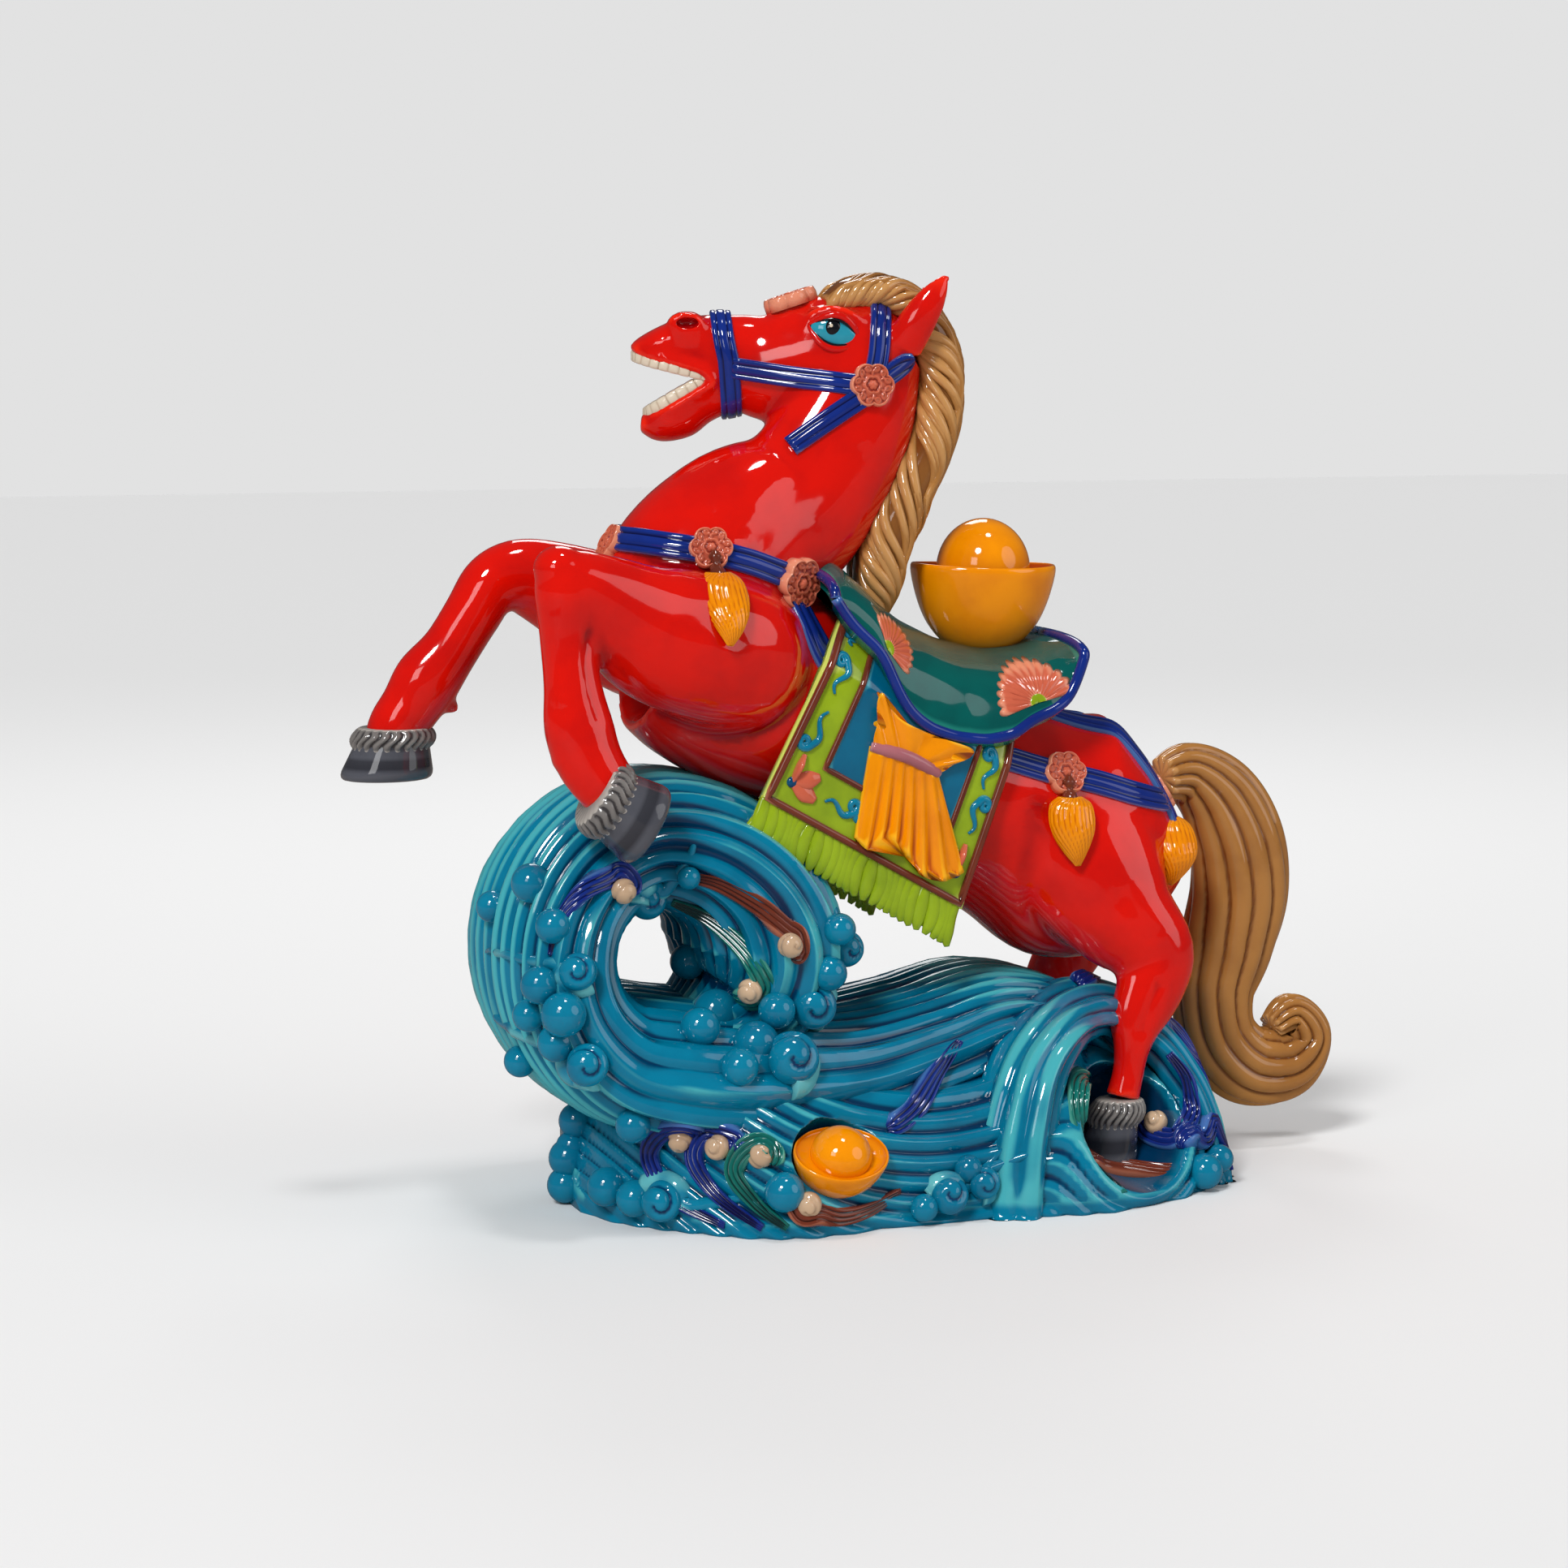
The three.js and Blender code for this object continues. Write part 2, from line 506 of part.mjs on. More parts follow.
function rosetteSolid({ point, facing }) {
  const lobes = 6;
  const shape = new THREE.Shape();
  for (let i = 0; i < 2 * lobes; i += 1) {
    const angle = (Math.PI * i) / lobes;
    const radius = i % 2 === 0 ? ROSETTE_RADIUS : ROSETTE_RADIUS * 0.84;
    const corner = [radius * Math.cos(angle), radius * Math.sin(angle)];
    if (i === 0) shape.moveTo(...corner);
    else shape.lineTo(...corner);
  }
  const foot = STRAP_THICKNESS + 3 * GAP;
  const flower = new THREE.ExtrudeGeometry(shape, { depth: 3, bevelEnabled: false });
  const button = new THREE.CylinderGeometry(2.6, 3.4, 4, 4);
  button.rotateX(Math.PI / 2);
  button.translate(0, 0, foot + 3);
  flower.translate(0, 0, foot);
  const turn = new THREE.Quaternion().setFromUnitVectors(new THREE.Vector3(0, 0, 1), facing);
  [flower, button].forEach((geometry) => {
    geometry.applyQuaternion(turn);
    geometry.translate(point.x, point.y, point.z);
  });
  return toSolid(flower).add(toSolid(button));
}

function tasselSolid(side, x, z, lean) {
  const profile = [[0, 1.2], [4, 3.4], [7, 2.2], [12, 4.6], [19, 5.2], [TASSEL_LENGTH, 1.4]];
  const stations = profile.map(([down, radius]) => {
    const place = x + lean * (down / TASSEL_LENGTH) ** 2;
    const { point } = surfaceAt(horseMesh, [place, side * 300, z - down], [0, -side, 0]);
    return [place, point.y + side * 6.9, z - down, radius, radius];
  });
  return loft(stations, { flutes: 3, depth: 0.8 });
}

// A strip of clay that lies on the water along lines of sight, each [from, towards]
function strandSolid(sights) {
  const last = sights.length - 1;
  const hits = sights.map(([from, towards]) => surfaceAt(waveMesh, from, towards));
  const outward = new THREE.Vector3();
  hits.forEach(({ facing }) => outward.add(facing));
  outward.normalize();
  const stations = hits.map(({ point }, i) => {
    const { x, y, z } = point.clone().addScaledVector(outward, 2.4);
    return [x, y, z, 1.6 + (2.6 * i) / last, 2];
  });
  const beyond = hits[last].point.clone().sub(hits[last - 1].point).setLength(4);
  const { x, y, z } = hits[last].point.clone().add(beyond).addScaledVector(outward, 3);
  stations[last] = [...stations[last].slice(0, 3), 4.4, 3];
  stations.push([x, y, z, 2.6, 2]);
  return loft(stations, { sides: 4, across: outward });
}

// Lines of sight on to the near face, and on to the rim of the curl
const onFace = ([x, z]) => [[x, -300, z], [0, 1, 0]];
function onRim([degrees, y]) {
  const angle = THREE.MathUtils.degToRad(degrees);
  const [dx, dz] = [Math.cos(angle), Math.sin(angle)];
  return [[EYE_OF_WAVE.x + 200 * dx, y, EYE_OF_WAVE.z + 200 * dz], [-dx, 0, -dz]];
}

function meshOf(solid) {
  const mesh = new THREE.Mesh(toGeometry(solid));
  mesh.updateMatrixWorld();
  return mesh;
}

// What other pieces are cut by, so that they keep clear
const horse = horseSolid();
const nearSkin = horseSolid(GAP);
const strapHeight = GAP + STRAP_THICKNESS;
const trunkForm = loft(TRUNK, { sides: BODY_SIDES, grow: strapHeight });
const neckForm = loft(NECK, { sides: BODY_SIDES, grow: strapHeight });
const headForm = turned(join([
  loft(SKULL, { sides: SKULL_SIDES, grow: strapHeight }),
  loft(JAW, { sides: LIMB_SIDES, grow: strapHeight }),
]));
const clearOfStraps = horseSolid(2 * GAP + STRAP_THICKNESS);
const horseMesh = meshOf(horse);
const wave = waveSolid().subtract(nearSkin);
const waveMesh = meshOf(wave);
const clearOfWave = waveSolid(GAP);
const mane = loft(MANE, { flutes: 6, depth: 2.5 }).subtract(nearSkin);
const clearOfMane = loft(MANE, { flutes: 6, depth: 2.5, grow: GAP });
const largeIngot = ingotSolid(LARGE_INGOT);
const tail = loft(TAIL, { flutes: 6, depth: 3 }).subtract(nearSkin);
const clearOfTail = loft(TAIL, { flutes: 6, depth: 3, grow: GAP });
const blanket = blanketSolid().subtract(nearSkin).subtract(clearOfWave);

addPiece('horse', biggest(horse), RED);
addPiece('mane', biggest(mane), TAN);
addPiece('tail', biggest(tail), TAN);
addPiece('wave_base', biggest(wave), TURQUOISE);
addPiece('saddle_blanket', biggest(blanket), LIME);

const ingotSocket = ingotSolid({
  ...LARGE_INGOT,
  length: LARGE_INGOT.length + 2 * GAP,
  width: LARGE_INGOT.width + 2 * GAP,
});
const saddle = saddleSolid()
  .subtract(clearOfStraps)
  .subtract(blanketSolid(GAP))
  .subtract(clearOfMane)
  .subtract(ingotSocket);
addPiece('saddle', biggest(saddle), TEAL);
addPiece('large_ingot', biggest(largeIngot.subtract(clearOfMane)), GOLD);
addPiece('small_ingot', biggest(ingotSolid(SMALL_INGOT, 30).subtract(clearOfWave)), GOLD);

[['near', NEAR], ['far', FAR]].forEach(([sideName, side]) => {
  const drape = drapeSolid(side).subtract(blanketSolid(GAP)).subtract(saddleSolid());
  addPiece(`drape_${sideName}`, biggest(drape), GOLD);
});

const headgear = strap(join([headForm, neckForm]), BRIDLE, BRIDLE_WIDTH, turned).subtract(clearOfMane);
const collar = strap(join([trunkForm, neckForm]), [COLLAR, GIRTH], STRAP_WIDTH);
const crupper = strap(trunkForm, [CRUPPER_TOP, CRUPPER_SIDE], STRAP_WIDTH).subtract(blanketSolid(GAP));
addPiece('bridle', biggest(headgear), NAVY);
addPiece('breast_collar', biggest(collar), NAVY);
addPiece('crupper', biggest(crupper), NAVY);

ROSETTES.forEach(([name, from, towards]) => {
  const rosette = rosetteSolid(surfaceAt(horseMesh, from, towards));
  addPiece(`rosette_${name}`, biggest(rosette.subtract(clearOfMane).subtract(clearOfStraps)), CORAL);
});
[['near', NEAR], ['far', FAR]].forEach(([sideName, side]) => {
  PAIRED_ROSETTES.forEach(([name, x, z]) => {
    const place = surfaceAt(horseMesh, [x, side * 300, z], [0, -side, 0]);
    const rosette = rosetteSolid(place).subtract(clearOfTail);
    addPiece(`rosette_${name}_${sideName}`, biggest(rosette), CORAL);
  });
  TASSELS.forEach(([name, x, z, lean]) => {
    const place = PAIRED_ROSETTES.find(([rosette]) => rosette === name);
    const hit = surfaceAt(horseMesh, [place[1], side * 300, place[2]], [0, -side, 0]);
    const tassel = tasselSolid(side, x, z, lean).subtract(nearSkin).subtract(rosetteSolid(hit));
    addPiece(`tassel_${name}_${sideName}`, biggest(tassel), GOLD);
  });
});
const strands = [
  ...STRANDS.map(([name, look, points]) => [name, look, points.map(onFace)]),
  ...[...RIM_STRANDS, ...FAR_STRANDS].map(([name, look, points]) => [name, look, points.map(onRim)]),
];
strands.forEach(([name, look, sights]) => {
  const strand = strandSolid(sights).subtract(clearOfWave).subtract(nearSkin);
  addPiece(`strand_${name}`, biggest(strand), look);
});

export default group;
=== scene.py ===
"""Looks of a glazed pottery statue: a red horse rearing over a curling wave, saddled, with a gold ingot.

The tables of stations and places are in millimetres, and MM turns them into Blender's metres.
"""
import math

import bpy
import numpy as np
from bpy.props import FloatProperty, FloatVectorProperty, IntProperty, PointerProperty
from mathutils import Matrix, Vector
from mathutils.bvhtree import BVHTree


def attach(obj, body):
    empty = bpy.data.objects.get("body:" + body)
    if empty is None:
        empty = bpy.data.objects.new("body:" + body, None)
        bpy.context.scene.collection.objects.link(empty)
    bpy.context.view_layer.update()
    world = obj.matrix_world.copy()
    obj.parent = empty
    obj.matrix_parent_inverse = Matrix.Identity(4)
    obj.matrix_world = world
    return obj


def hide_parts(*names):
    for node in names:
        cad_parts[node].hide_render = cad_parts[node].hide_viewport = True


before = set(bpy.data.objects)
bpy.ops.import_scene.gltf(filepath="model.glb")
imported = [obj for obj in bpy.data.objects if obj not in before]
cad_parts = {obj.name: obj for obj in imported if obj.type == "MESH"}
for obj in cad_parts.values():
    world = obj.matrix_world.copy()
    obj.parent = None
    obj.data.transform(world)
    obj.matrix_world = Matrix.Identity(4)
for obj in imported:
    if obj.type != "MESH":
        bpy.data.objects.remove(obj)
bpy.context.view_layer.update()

bl_info = {
    "name": "Rearing Horse Statue",
    "version": (1, 0, 0),
    "blender": (4, 5, 0),
    "location": "3D View > Sidebar > Statue",
    "description": "Models the glazed horse, its harness, saddle and wave round a fixed frame",
    "category": "Add Mesh",
}

MM = 0.001
NEAR = -1
FAR = 1
ACROSS = (0.0, 1.0, 0.0)
# A distance that is clear of the statue, to look at it from
OUTSIDE = 300
# The height that the camera and the lamps aim at, in metres
AIM_HEIGHT = 0.2
# Below this height the glaze doesn't run to its thinnest
THICK_BELOW = 8.0

# Stations are [x, y, z, up, side]: a point of the path, the half-height square to the path
# and the half-width across it.
TRUNK = [
    [-118, 0, 240, 16, 22], [-104, 0, 247, 36, 34], [-85, 0, 241, 45, 40], [-54, 0, 223, 47, 44],
    [-25, 0, 207, 43, 44], [22, 0, 181, 41, 44], [68, 0, 161, 49, 45], [98, 0, 149, 56, 46],
    [122, 0, 146, 44, 40], [138, 0, 147, 27, 28], [147, 0, 150, 11, 12],
]
NECK = [
    [-90, 0, 226, 34, 32], [-86, 0, 244, 41, 38], [-76, 0, 264, 44, 38], [-56, 0, 284, 42, 33],
    [-28, 0, 304, 34, 26], [-9, 0, 334, 30, 22], [3, 0, 366, 23, 18],
]
# The head is laid out with its poll at the origin, facing -X, and then turned to the far side.
POLL = (5, 2, 0)
HEAD_TURN = math.radians(-17)
SKULL = [
    [15, 0, 368, 12, 12], [4, 0, 366, 22, 19], [-17, 0, 364, 26, 22], [-35, 0, 359.5, 26.5, 19.5],
    [-50, 0, 359.5, 23, 16], [-62, 0, 364, 18.5, 14], [-75, 0, 368.3, 13.3, 12.5],
    [-86, 0, 369.3, 9.8, 12.5], [-95, 0, 368.6, 6.8, 11.5], [-102, 0, 367.6, 3.8, 8.5],
    [-106, 0, 366.6, 1.6, 4],
]
JAW = [
    [-40, 0, 352, 14, 13], [-54, 0, 348.5, 9.5, 12], [-66, 0, 346.5, 8.5, 11], [-76, 0, 343, 9.2, 11],
    [-85, 0, 338, 10.5, 11], [-94, 0, 334.0, 7.8, 10], [-102, 0, 334.5, 3.8, 7],
]
EAR = [
    [11, 15, 367, 8.5, 6], [17, 17.5, 378, 8.2, 6], [24, 18.5, 389, 6, 4], [30, 17.5, 398.3, 1.6, 1.2],
]
NEAR_FORELEG = [
    [-44, -24, 234, 22, 16], [-62, -34, 236, 29, 20], [-90, -40, 243, 31, 22], [-113, -44, 251, 28, 19],
    [-134, -48, 265, 19, 15], [-149, -50, 275, 12, 12],
]
NEAR_CANNON = [
    [-151, -50, 284, 7, 8], [-150, -50, 273, 12.5, 12], [-149.5, -51, 250, 11.5, 11],
    [-148, -53, 230, 12, 11], [-146, -55, 212, 14.5, 12.5], [-142, -57, 198, 14, 12.5],
    [-134, -60, 185, 12.5, 12],
]
FAR_FORELEG = [
    [-70, 30, 235, 28, 18], [-98, 36, 246, 29, 20], [-126, 36, 262, 21, 16], [-148, 35, 269, 16, 14],
    [-159, 34, 266, 13.5, 13], [-168, 34, 253, 12.5, 12], [-178, 34, 238, 12.5, 11.5],
    [-188, 35, 225, 14.5, 12.5], [-195, 36, 214, 13.2, 12], [-201, 37, 205, 12.5, 12.5],
    [-203, 38, 195, 12.5, 12.5],
]
NEAR_HINDLEG = [
    [80, -18, 165, 38, 24], [92, -30, 142, 35, 23], [106, -39, 118, 26, 18], [121, -44, 101, 17, 13],
    [116, -47, 87, 16, 11], [108, -50, 72, 12.5, 9], [105, -52, 60, 8, 7.5], [103, -53, 50, 7, 7],
    [100, -54, 40, 7.5, 7.5],
]
# Joints that stand out from the legs: [x, y, z] and the three radii
JOINTS = [
    [(-152, -50, 277), (11.4, 11, 10)], [(-147, -56, 199.5), (11, 11.5, 8)],
    [(-193, 36, 221), (12.2, 12, 9)], [(-161, 34, 268), (10, 12, 11)],
    [(121, -44, 99), (11, 10, 12)], [(121, 44, 99), (11, 10, 12)],
]
SPUR = [[-188, 36, 219, 9, 8], [-180, 36, 215, 5.5, 5], [-174.5, 36, 211.5, 1.6, 2]]
# Each hoof: the middles of its sole and its top, the way its toe points, and the half-length and
# half-width of the sole and of the top, which is its neck
HOOVES = [
    {"sole": (-206, 38, 182.5), "top": (-202, 38, 203), "toe": (-1, 0, 0), "half": (21, 17.5),
     "neck": (14.5, 13.5)},
    {"sole": (-117.5, -62, 169.5), "top": (-139, -61, 184), "toe": (-0.52, 0, -0.854), "half": (19, 16.5),
     "neck": (13.4, 13)},
    {"sole": (91, -54, 10), "top": (98, -54, 37), "toe": (-1, 0, 0), "half": (15, 13.5), "neck": (9, 8.6)},
    {"sole": (91, 54, 10), "top": (98, 54, 37), "toe": (-1, 0, 0), "half": (15, 13.5), "neck": (9, 8.6)},
]

MANE = [
    [-18, 2, 386, 3.5, 8], [-9, 2, 390, 6.5, 12], [3, 2, 392, 7, 14], [18, 2, 386, 9, 15],
    [30, 2, 370, 11, 16], [33, 1, 350, 11, 17], [28, 0, 326, 11, 17], [17, -1, 304, 12, 17],
    [8, -2, 284, 12.5, 16], [3, -3, 264, 10, 14], [2, -3, 250, 4, 8],
]
TAIL = [
    [143, 2, 173, 8, 7], [158, 7, 174, 13, 11], [174, 10, 163, 18, 14], [184, 10, 143, 21, 16],
    [186, 10, 118, 22, 17], [180, 10, 94, 21, 16], [173, 10, 72, 18, 15], [176, 10, 51, 17, 15],
    [191, 10, 37, 17, 15], [210, 9, 38, 16, 14], [219, 8, 50, 11, 12], [211, 7, 60, 8, 10],
    [201, 6, 55, 4, 7],
]

# The wave: its eye is the middle of the curl, and every band of water runs round it.
EYE_OF_WAVE = (-105, 110)
# Round the eye, by angle from +X: [degrees, distance, half-width, half-depth]
CURL = [
    [-62, 43, 10, 40], [-30, 50, 24, 58], [0, 52, 32, 66], [30, 51, 31, 62], [60, 49.5, 30, 56],
    [90, 48.5, 29, 50], [120, 46, 27, 54], [150, 44, 25, 62], [180, 43, 24, 68], [210, 44, 25, 73],
    [240, 46, 27, 78], [270, 48, 29, 82],
]
CREST = [
    [-65, 0, 56, 29, 80], [-20, 0, 55, 25, 72], [20, 0, 62, 24, 64], [54, 0, 69, 25, 56],
    [86, 0, 63, 21, 44], [108, 0, 46, 19, 38], [124, 0, 28, 16, 38], [134, 0, 12, 12, 34],
]
# The foot, by place along X: [x, height, half-depth]
FOOT = [
    [-137, 16, 20], [-130, 40, 42], [-116, 60, 62], [-100, 70, 78], [-84, 76, 92], [-60, 76, 100],
    [-24, 72, 95], [24, 70, 92], [70, 70, 100], [106, 60, 90], [130, 46, 74], [148, 26, 52],
    [157, 10, 28],
]
# How much further the foot reaches on the far side, and the streams over it
FAR_FOOT = 1.05
FOOT_STREAMS = {"spacing": 8.4, "depth": 2.9}
# The arch of water over the near hind hoof
SWIRL = [
    [35, -67, -14, 21, 34], [42, -64, 34, 18, 33], [52, -56, 59, 16, 31], [72, -39, 73, 14, 28],
    [95, -28, 76, 13, 26], [117, -26, 66, 12, 26], [132, -31, 46, 11, 27], [140, -36, 24, 11, 28],
    [146, -38, -14, 11, 28],
]
CURL_STREAMS = 25
SWIRL_STREAMS = 11
SWIRL_SHARE_OF_DEPTH = 0.76

# Each glaze: the colour of its body, where it pools in hollows, which also paints shade there, and where it
# runs thin
GLAZES = {
    "red": [(0.70, 0.005, 0.001), (0.30, 0.0, 0.002), (0.82, 0.016, 0.003)],
    "turquoise": [(0.0, 0.185, 0.315), (0.0, 0.030, 0.088), (0.06, 0.40, 0.45)],
    "tan": [(0.41, 0.180, 0.045), (0.17, 0.052, 0.010), (0.54, 0.27, 0.09)],
    "teal": [(0.0, 0.100, 0.088), (0.0, 0.016, 0.026), (0.012, 0.22, 0.17)],
    "lime": [(0.31, 0.44, 0.012), (0.03, 0.08, 0.002), (0.60, 0.70, 0.13)],
    "gold": [(0.90, 0.29, 0.0), (0.46, 0.055, 0.0), (0.98, 0.46, 0.01)],
    "navy": [(0.006, 0.026, 0.22), (0.001, 0.002, 0.05), (0.06, 0.16, 0.42)],
    "coral": [(0.64, 0.135, 0.07), (0.26, 0.026, 0.014), (0.76, 0.27, 0.16)],
    "green": [(0.006, 0.16, 0.13), (0.0, 0.02, 0.02), (0.10, 0.42, 0.32)],
    "brown": [(0.17, 0.032, 0.015), (0.03, 0.005, 0.004), (0.42, 0.13, 0.07)],
    "grey": [(0.085, 0.088, 0.105), (0.018, 0.018, 0.024), (0.19, 0.19, 0.21)],
    "cream": [(0.60, 0.42, 0.27), (0.20, 0.08, 0.04), (0.82, 0.70, 0.52)],
    "iris": [(0.03, 0.34, 0.44), (0.0, 0.10, 0.20), (0.30, 0.62, 0.64)],
    "blue": [(0.0, 0.13, 0.24), (0.0, 0.018, 0.08), (0.06, 0.36, 0.46)],
    "mauve": [(0.42, 0.14, 0.16), (0.14, 0.02, 0.05), (0.62, 0.34, 0.34)],
    "black": [(0.006, 0.006, 0.01), (0.0, 0.0, 0.0), (0.03, 0.03, 0.05)],
    "feather": [(0.19, 0.175, 0.165), (0.045, 0.04, 0.042), (0.44, 0.40, 0.36)],
    "foam": [(0.002, 0.200, 0.330), (0.0, 0.026, 0.105), (0.12, 0.46, 0.50)],
    "tooth": [(0.74, 0.64, 0.50), (0.52, 0.40, 0.28), (0.86, 0.80, 0.68)],
}
# The relief over which a glaze goes from its body to its pooled tone, which is also painted shade in the
# hollows, and from its body to thin
POOLED_AND_PAINTED_SHADE_RELIEF = (0.44, 0.12)
THIN_RELIEF = (0.80, 1.05)
CLOUD_SHARE = 0.12


def glaze_colour(name, description):
    """A body colour that the user may change."""
    return FloatVectorProperty(
        name=name.title(), description=description, subtype="COLOR", size=3, min=0.0, max=1.0,
        default=GLAZES[name][0],
    )


def length(name, description, long):
    """A size that the user may change, kept in metres."""
    return FloatProperty(
        name=name, description=description, subtype="DISTANCE", unit="LENGTH", min=0.0, precision=4,
        default=long * MM,
    )


def count(name, description, many):
    """A number of things that the user may change."""
    return IntProperty(name=name, description=description, min=1, default=many)


class StatueGlazes(bpy.types.PropertyGroup):
    """The body colour of every glaze."""

    red: glaze_colour("red", "The horse's coat")
    turquoise: glaze_colour("turquoise", "The water")
    tan: glaze_colour("tan", "The mane and the tail")
    teal: glaze_colour("teal", "The saddle")
    lime: glaze_colour("lime", "The blanket")
    gold: glaze_colour("gold", "The ingots, the sash and the tassels")
    navy: glaze_colour("navy", "The straps and some ribbons")
    coral: glaze_colour("coral", "The rosettes and petals")
    green: glaze_colour("green", "Some of the ribbons")
    brown: glaze_colour("brown", "The tassel knots and some ribbons")
    grey: glaze_colour("grey", "The hooves")
    cream: glaze_colour("cream", "The tips of the ribbons")
    iris: glaze_colour("iris", "The eyes")
    blue: glaze_colour("blue", "The blanket's field")
    mauve: glaze_colour("mauve", "The sash's band and the tongue")
    black: glaze_colour("black", "The pupils")
    feather: glaze_colour("feather", "The hair over the hooves")
    foam: glaze_colour("foam", "The foam and the blanket's scrolls")
    tooth: glaze_colour("tooth", "The teeth")


class StatueSizes(bpy.types.PropertyGroup):
    """The sizes of what is laid on the horse and the wave."""

    clay_grain: length("Clay Grain", "Size of the voxels that the horse's clay is joined with", 1.4)
    strap_width: length("Strap Width", "Width of the straps on the breast and the back", 11.0)
    strap_height: length("Strap Height", "How far those straps stand out", 2.6)
    bridle_width: length("Bridle Width", "Width of the bridle's straps", 9.2)
    bridle_height: length("Bridle Height", "How far the bridle stands out", 2.4)
    saddle_edge: length("Saddle Edge", "Thickness of the saddle's rolled edge", 4.8)
    fringe_length: length("Fringe Length", "Length of the blanket's fringe", 19.0)
    fringe_strands: count("Fringe Strands", "Strands in each layer of the fringe", 26)
    fold_depth: length("Fold Depth", "Depth of the folds of the sash", 3.2)
    ribbon_width: length("Ribbon Width", "Width of the ribbons on the water", 10.2)
    ribbon_height: length("Ribbon Height", "How far the ribbons stand out", 4.2)
    stream_depth: length("Stream Depth", "Depth of the grooves between the streams of water", 3.9)
    tail_depth: length("Tail Depth", "Depth of the grooves of the tail", 3.4)
    mane_locks: count("Mane Locks", "Locks on each side of the mane", 60)
    large_ingot: length("Large Ingot", "Length of the ingot on the saddle", 65.5)
    small_ingot: length("Small Ingot", "Length of the ingot in the water", 41.0)
    tooth_count: count("Teeth", "Teeth in each half of a jaw", 9)


def millimetres(name):
    """A size that the user may change, in millimetres."""
    return getattr(bpy.context.scene.statue_sizes, name) / MM


def number(name):
    """A number of things that the user may change, as it stands."""
    return getattr(bpy.context.scene.statue_sizes, name)


# Shells: vertices and faces, in millimetres

def between(a, b, low, high, t):
    """The value at t on the straight line from a at low to b at high."""
    return a * (high - t) / (high - low) + b * (t - low) / (high - low)


def spline(rows, steps):
    """A smooth curve through rows of numbers, paced by the root of the distance between points."""
    rows = np.asarray(rows, float)
    padded = np.vstack([2 * rows[0] - rows[1], rows, 2 * rows[-1] - rows[-2]])
    parts = []
    for i in range(len(rows) - 1):
        p = padded[i:i + 4]
        gaps = np.linalg.norm(np.diff(p[:, :3], axis=0), axis=1)
        k = np.concatenate([[0.0], np.cumsum(np.sqrt(np.maximum(gaps, 1e-4)))])
        t = np.linspace(k[1], k[2], steps, endpoint=False)[:, None]
        middle = between(p[1], p[2], k[1], k[2], t)
        first = between(between(p[0], p[1], k[0], k[1], t), middle, k[0], k[2], t)
        second = between(middle, between(p[2], p[3], k[2], k[3], t), k[1], k[3], t)
        parts.append(between(first, second, k[1], k[2], t))
    parts.append(rows[-1:])
    return np.vstack(parts)


def unit(vectors):
    """The vectors at a length of one."""
    return vectors / np.maximum(np.linalg.norm(vectors, axis=-1, keepdims=True), 1e-9)


def flutes(turn, many, depth, sharpness=0.5):
    """Rounded ridges with narrow grooves between them, as offsets of the surface."""
    return -depth * (1 - np.abs(np.cos(math.pi * many * turn)) ** sharpness)


def loft(stations, sides=32, steps=6, square=2.0, across=ACROSS, carve=None):
    """A closed tube through stations. carve(turn, place) gives the offset of each of its points."""
    rows = spline(stations, steps)
    path = rows[:, :3]
    along = unit(np.gradient(path, axis=0))
    across = np.asarray(across, float)
    side = unit(across - (along @ across)[:, None] * along)
    up = np.cross(along, side)
    angle = 2 * math.pi * np.arange(sides) / sides
    c = np.sign(np.cos(angle)) * np.abs(np.cos(angle)) ** (2 / square)
    s = np.sign(np.sin(angle)) * np.abs(np.sin(angle)) ** (2 / square)
    high = c[None, :] * rows[:, 3:4]
    wide = s[None, :] * rows[:, 4:5]
    if carve:
        steps_round = np.hypot(np.diff(high, append=high[:, :1]), np.diff(wide, append=wide[:, :1]))
        turn = np.cumsum(steps_round, axis=1) - steps_round
        turn = turn / steps_round.sum(axis=1, keepdims=True)
        place = np.linspace(0, 1, len(rows))[:, None]
        depth = np.maximum(carve(turn, place), -0.35 * rows[:, 3:5].min(axis=1, keepdims=True))
        high = high + c[None, :] * depth
        wide = wide + s[None, :] * depth
    rings = path[:, None, :] + up[:, None, :] * high[..., None] + side[:, None, :] * wide[..., None]
    return skin(rings)


def skin(rings):
    """One closed shell from rings of equally many points, with a fan on each end."""
    many, sides = rings.shape[:2]
    verts = np.vstack([rings.reshape(-1, 3), rings[0].mean(axis=0), rings[-1].mean(axis=0)])
    here = np.arange(sides)
    ahead = (here + 1) % sides
    starts = sides * np.arange(many - 1)[:, None]
    corners = [starts + here, starts + ahead, starts + ahead + sides, starts + here + sides]
    quads = np.stack(corners, axis=-1).reshape(-1, 4)
    last = (many - 1) * sides
    low_fan = np.stack([np.full(sides, many * sides), ahead, here], axis=-1)
    high_fan = np.stack([np.full(sides, many * sides + 1), last + here, last + ahead], axis=-1)
    fans = np.vstack([low_fan, high_fan])
    triangles = np.vstack([quads[:, [0, 1, 2]], quads[:, [0, 2, 3]], fans])
    a, b, c = (verts[triangles[:, k]] for k in range(3))
    if np.einsum("ij,ij->", a, np.cross(b, c)) < 0:
        quads, fans = quads[:, ::-1], fans[:, ::-1]
    return verts, quads.tolist() + fans.tolist()


def moved(shell, matrix):
    """The shell in another place; the matrix is 3 x 4."""
    verts, faces = shell
    return verts @ matrix[:, :3].T + matrix[:, 3], faces


def mirrored(stations):
    """The stations on the other side of the statue."""
    return [[x, -y, z, *sizes] for x, y, z, *sizes in stations]


def taken(piece):
    """The shell of a piece that was made at 1000 times its size; the piece itself goes."""
    mesh = piece.data
    shell = vertices(mesh), [list(face.vertices) for face in mesh.polygons]
    bpy.data.objects.remove(piece)
    bpy.data.meshes.remove(mesh)
    return shell


